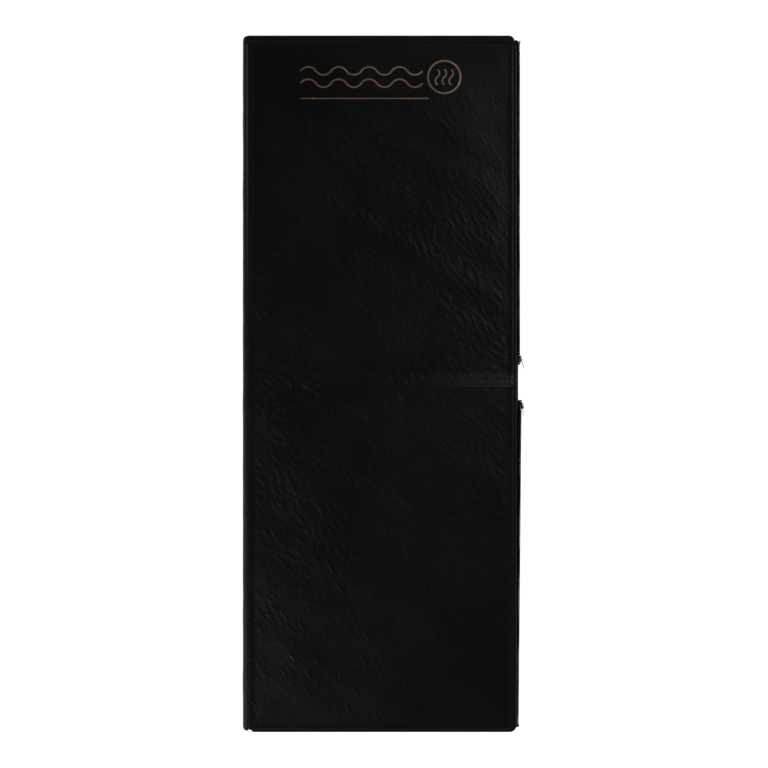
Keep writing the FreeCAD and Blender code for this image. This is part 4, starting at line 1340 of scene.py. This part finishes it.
def addCoil(name, side, stands):
    # a flattened spiral of nylon wire along each row, sewn over its cord
    low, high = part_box(stands)
    slope, half = coilSlope(low, high), zipShape["width"] / 2
    turns = int((high.y - low.y) / zipShape["pitch"])
    angle = np.linspace(0, 2 * math.pi * turns, turns * zipShape["turnPoints"] + 1)
    y = low.y + (high.y - low.y) * angle / angle[-1]
    middleX = (high.x - half - slope * (high.y - y)) if slope else (low.x + high.x) / 2 + 0 * y
    middleZ = (low.z + high.z) / 2
    wire = zipShape["wire"]
    a, b = half - wire, (high.z - low.z) / 2 - wire
    out = np.stack([np.cos(angle), 0 * angle, np.sin(angle)], 1)
    path = np.stack([middleX + a * np.cos(angle), y, middleZ + b * np.sin(angle)], 1)
    coil = sweep(path, ringProfile(wire, zipShape["wireSides"]), out)
    core = np.linspace((middleX[0], low.y, middleZ), (middleX[-1], high.y, middleZ), 60)
    cordInside = sweep(core, ringProfile(zipShape["core"], 7), (0, 0, 1))
    addPiece(name, *joinParts([coil, cordInside]), "zipCoil", side, "zip_coil", [stands])


tapeShape = {
    "thick": 0.0008, "bend": 0.0040, "sway": 0.0007, "step": 0.006,
    "endTurn": 0.0035, "turnFrom": 0.8795, "turnTo": 0.8890,   # past the slider's last place
}


def addTape(side, part):
    # a woven tape: sewn flat under the edge, then turned to stand along the zip
    node = side + "_" + part + "_zip_tape"
    low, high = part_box(node)
    thick, bend = tapeShape["thick"], tapeShape["bend"]
    flat, free = (low.z, high.z) if side == "base" else (high.z, low.z)
    way = 1 if side == "base" else -1
    coilLow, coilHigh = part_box(side + "_" + part + "_zip_coil")
    slope = coilSlope(coilLow, coilHigh)
    ys = np.append(np.arange(low.y, high.y, tapeShape["step"]), high.y)
    # closer rows where the end of the tape turns in under the corner
    turn = np.linspace(tapeShape["turnFrom"], tapeShape["turnTo"] - 0.002, 6)
    ys = np.unique(np.concatenate([ys, turn[(turn > low.y) & (turn < high.y)]]))
    sway = tapeShape["sway"] * wave(ys, 80 + len(node), (0.05, 0.21))
    rows = []
    for y, ease in zip(ys, sway):
        reach = coilHigh.x - zipShape["width"] - slope * (coilHigh.y - y)
        line = [(low.x + 0.0002 + (reach - bend - low.x - 0.0002) * t, flat + way * thick / 2)
                for t in np.linspace(0, 1, 4)]
        r = bend - thick / 2
        line += arc((reach - bend, flat + way * bend), r, -way * r, 75, 0, 6)
        line += [(reach - thick / 2, flat + way * (bend + (abs(free - flat) - bend) * t))
                 for t in (0.3, 0.6, 0.85, 1.0)]
        line = np.array(line)
        line[:, 0] -= tapeShape["endTurn"] * smoothStep(y, tapeShape["turnFrom"], tapeShape["turnTo"])
        # slack shows at the bend and dies away at the stitched edge and at the coil
        line[:, 0] += ease * bell(line[:, 1], flat + way * bend, 0.0035) * (line[:, 0] > low.x + 0.004)
        ahead = unit(np.gradient(line, axis=0))
        normal = np.stack([ahead[:, 1], -ahead[:, 0]], 1) * thick / 2
        ring = np.concatenate([line + normal, (line - normal)[::-1]])
        rows.append(np.stack([ring[:, 0], np.full(len(ring), y), ring[:, 1]], 1))
    points = np.array(rows).reshape(-1, 3)
    cols = len(rows[0])
    faces = gridFaces(len(rows), cols, closed=True).tolist() + bandCaps(len(rows), cols)
    addPiece(side + part.title() + "Tape", points, faces, "zipTape", side, "zip_tape", [node])


bindingShape = {
    "step": 0.004, "sway": 0.0004, "round": 0.00078,
    "stitchPitch": 0.0042, "stitchHalf": 0.0014, "stitchIn": 0.0026, "stitchRadius": 0.00026,
}


def addBinding(side):
    # the folded edge left open between the two zips
    low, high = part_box(side + "_gap_binding")
    ys = np.append(np.arange(low.y, high.y, bindingShape["step"]), high.y)
    middle = (low.x + high.x) / 2
    z = (low.z + high.z) / 2
    held = np.sin(math.pi * (ys - low.y) / (high.y - low.y))
    sway = bindingShape["sway"] * wave(ys, 91, (0.02, 0.07)) * held
    path = np.stack([middle - np.abs(sway), ys, z + sway], 1)
    strip = sweep(path, softRectangle(high.x - low.x, high.z - low.z, bindingShape["round"], 4), (0, 0, 1))
    parts = [strip]
    way = 1 if side == "cover" else -1
    t = np.linspace(-1, 1, 5)
    for y in np.arange(low.y + 0.004, high.y - 0.004, bindingShape["stitchPitch"]):
        line = np.stack([high.x - bindingShape["stitchIn"] + 0 * t, y + bindingShape["stitchHalf"] * t,
                         z + way * (0.00085 - 0.0003 * t ** 4)], 1)
        parts.append(sweep(line, ringProfile(bindingShape["stitchRadius"], 5), (0, 0, 1)))
    addPiece(side + "GapBinding", *joinParts(parts), "trimLeather", side, "outer_leather",
             [side + "_gap_binding"])


for side in ("base", "cover"):
    addBinding(side)
    for part in ("upper", "lower"):
        addTape(side, part)
        addCoil(side + part.title() + "Coil", side, side + "_" + part + "_zip_coil")
print("zips ready")


# hook and loop strips across the foot

pileShape = {"grid": 0.0022, "rough": 0.00028, "edge": 0.0012, "corner": 0.0015, "stitchDent": 0.0006}


def addPile(name, node, side, finish, seed):
    low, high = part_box(node)
    way = 1 if side == "base" else -1
    top = high.z if side == "base" else -low.z
    rim = low.z if side == "base" else -high.z

    def lift(x, y, distance, xs, ys):
        rng = np.random.default_rng(seed)
        tufts = rng.normal(0, 1, x.shape)
        tufts = (tufts + np.roll(tufts, 1, 0) + np.roll(tufts, 1, 1)) / 2.2
        stitched = -pileShape["stitchDent"] * bell(distance, 0.0026, 0.0009)
        return (pileShape["rough"] * (tufts - 1.0) + stitched) * smoothStep(distance, 0.0003, 0.002)

    points, faces = turnOver(*paddedSkin((low.x, high.x, low.y, high.y), (pileShape["corner"],) * 4,
                                         (pileShape["edge"],) * 4, top, rim + 0.00005, lift,
                                         pileShape["grid"], 0.0), way)
    addPiece(name, points, faces, finish, side, "hook_and_loop", [node])


addPile("footHooks", "foot_hook_strip", "base", "hookPile", 101)
addPile("footLoops", "foot_loop_strip", "cover", "loopPile", 102)
print("foot closure ready")


# copper print on the cover

emblemShape = {"cell": 0.004, "above": 0.00004, "thick": 0.00022}


def addEmblem():
    piece = copyNode("coverEmblem", "cover_foil_emblem", "copperPrint")
    low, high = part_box("cover_foil_emblem")
    # cut into short lengths, so that the print follows the leather
    form = bmesh.new()
    form.from_mesh(piece.data)
    for normal, start, end in (((1, 0, 0), low.x, high.x), ((0, 1, 0), low.y, high.y)):
        for place in np.arange(start + emblemShape["cell"], end, emblemShape["cell"]):
            bmesh.ops.bisect_plane(form, geom=form.verts[:] + form.edges[:] + form.faces[:],
                                   plane_co=[place * part for part in normal], plane_no=normal)
    form.to_mesh(piece.data)
    form.free()
    thick = high.z - low.z
    for vertex in piece.data.vertices:
        share = (vertex.co.z - low.z) / thick
        skinTop = topOf(coverTree, vertex.co.x, vertex.co.y, low.z)
        vertex.co.z = skinTop + emblemShape["above"] + share * emblemShape["thick"]
    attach(piece, "cover")


addEmblem()
print("print ready")
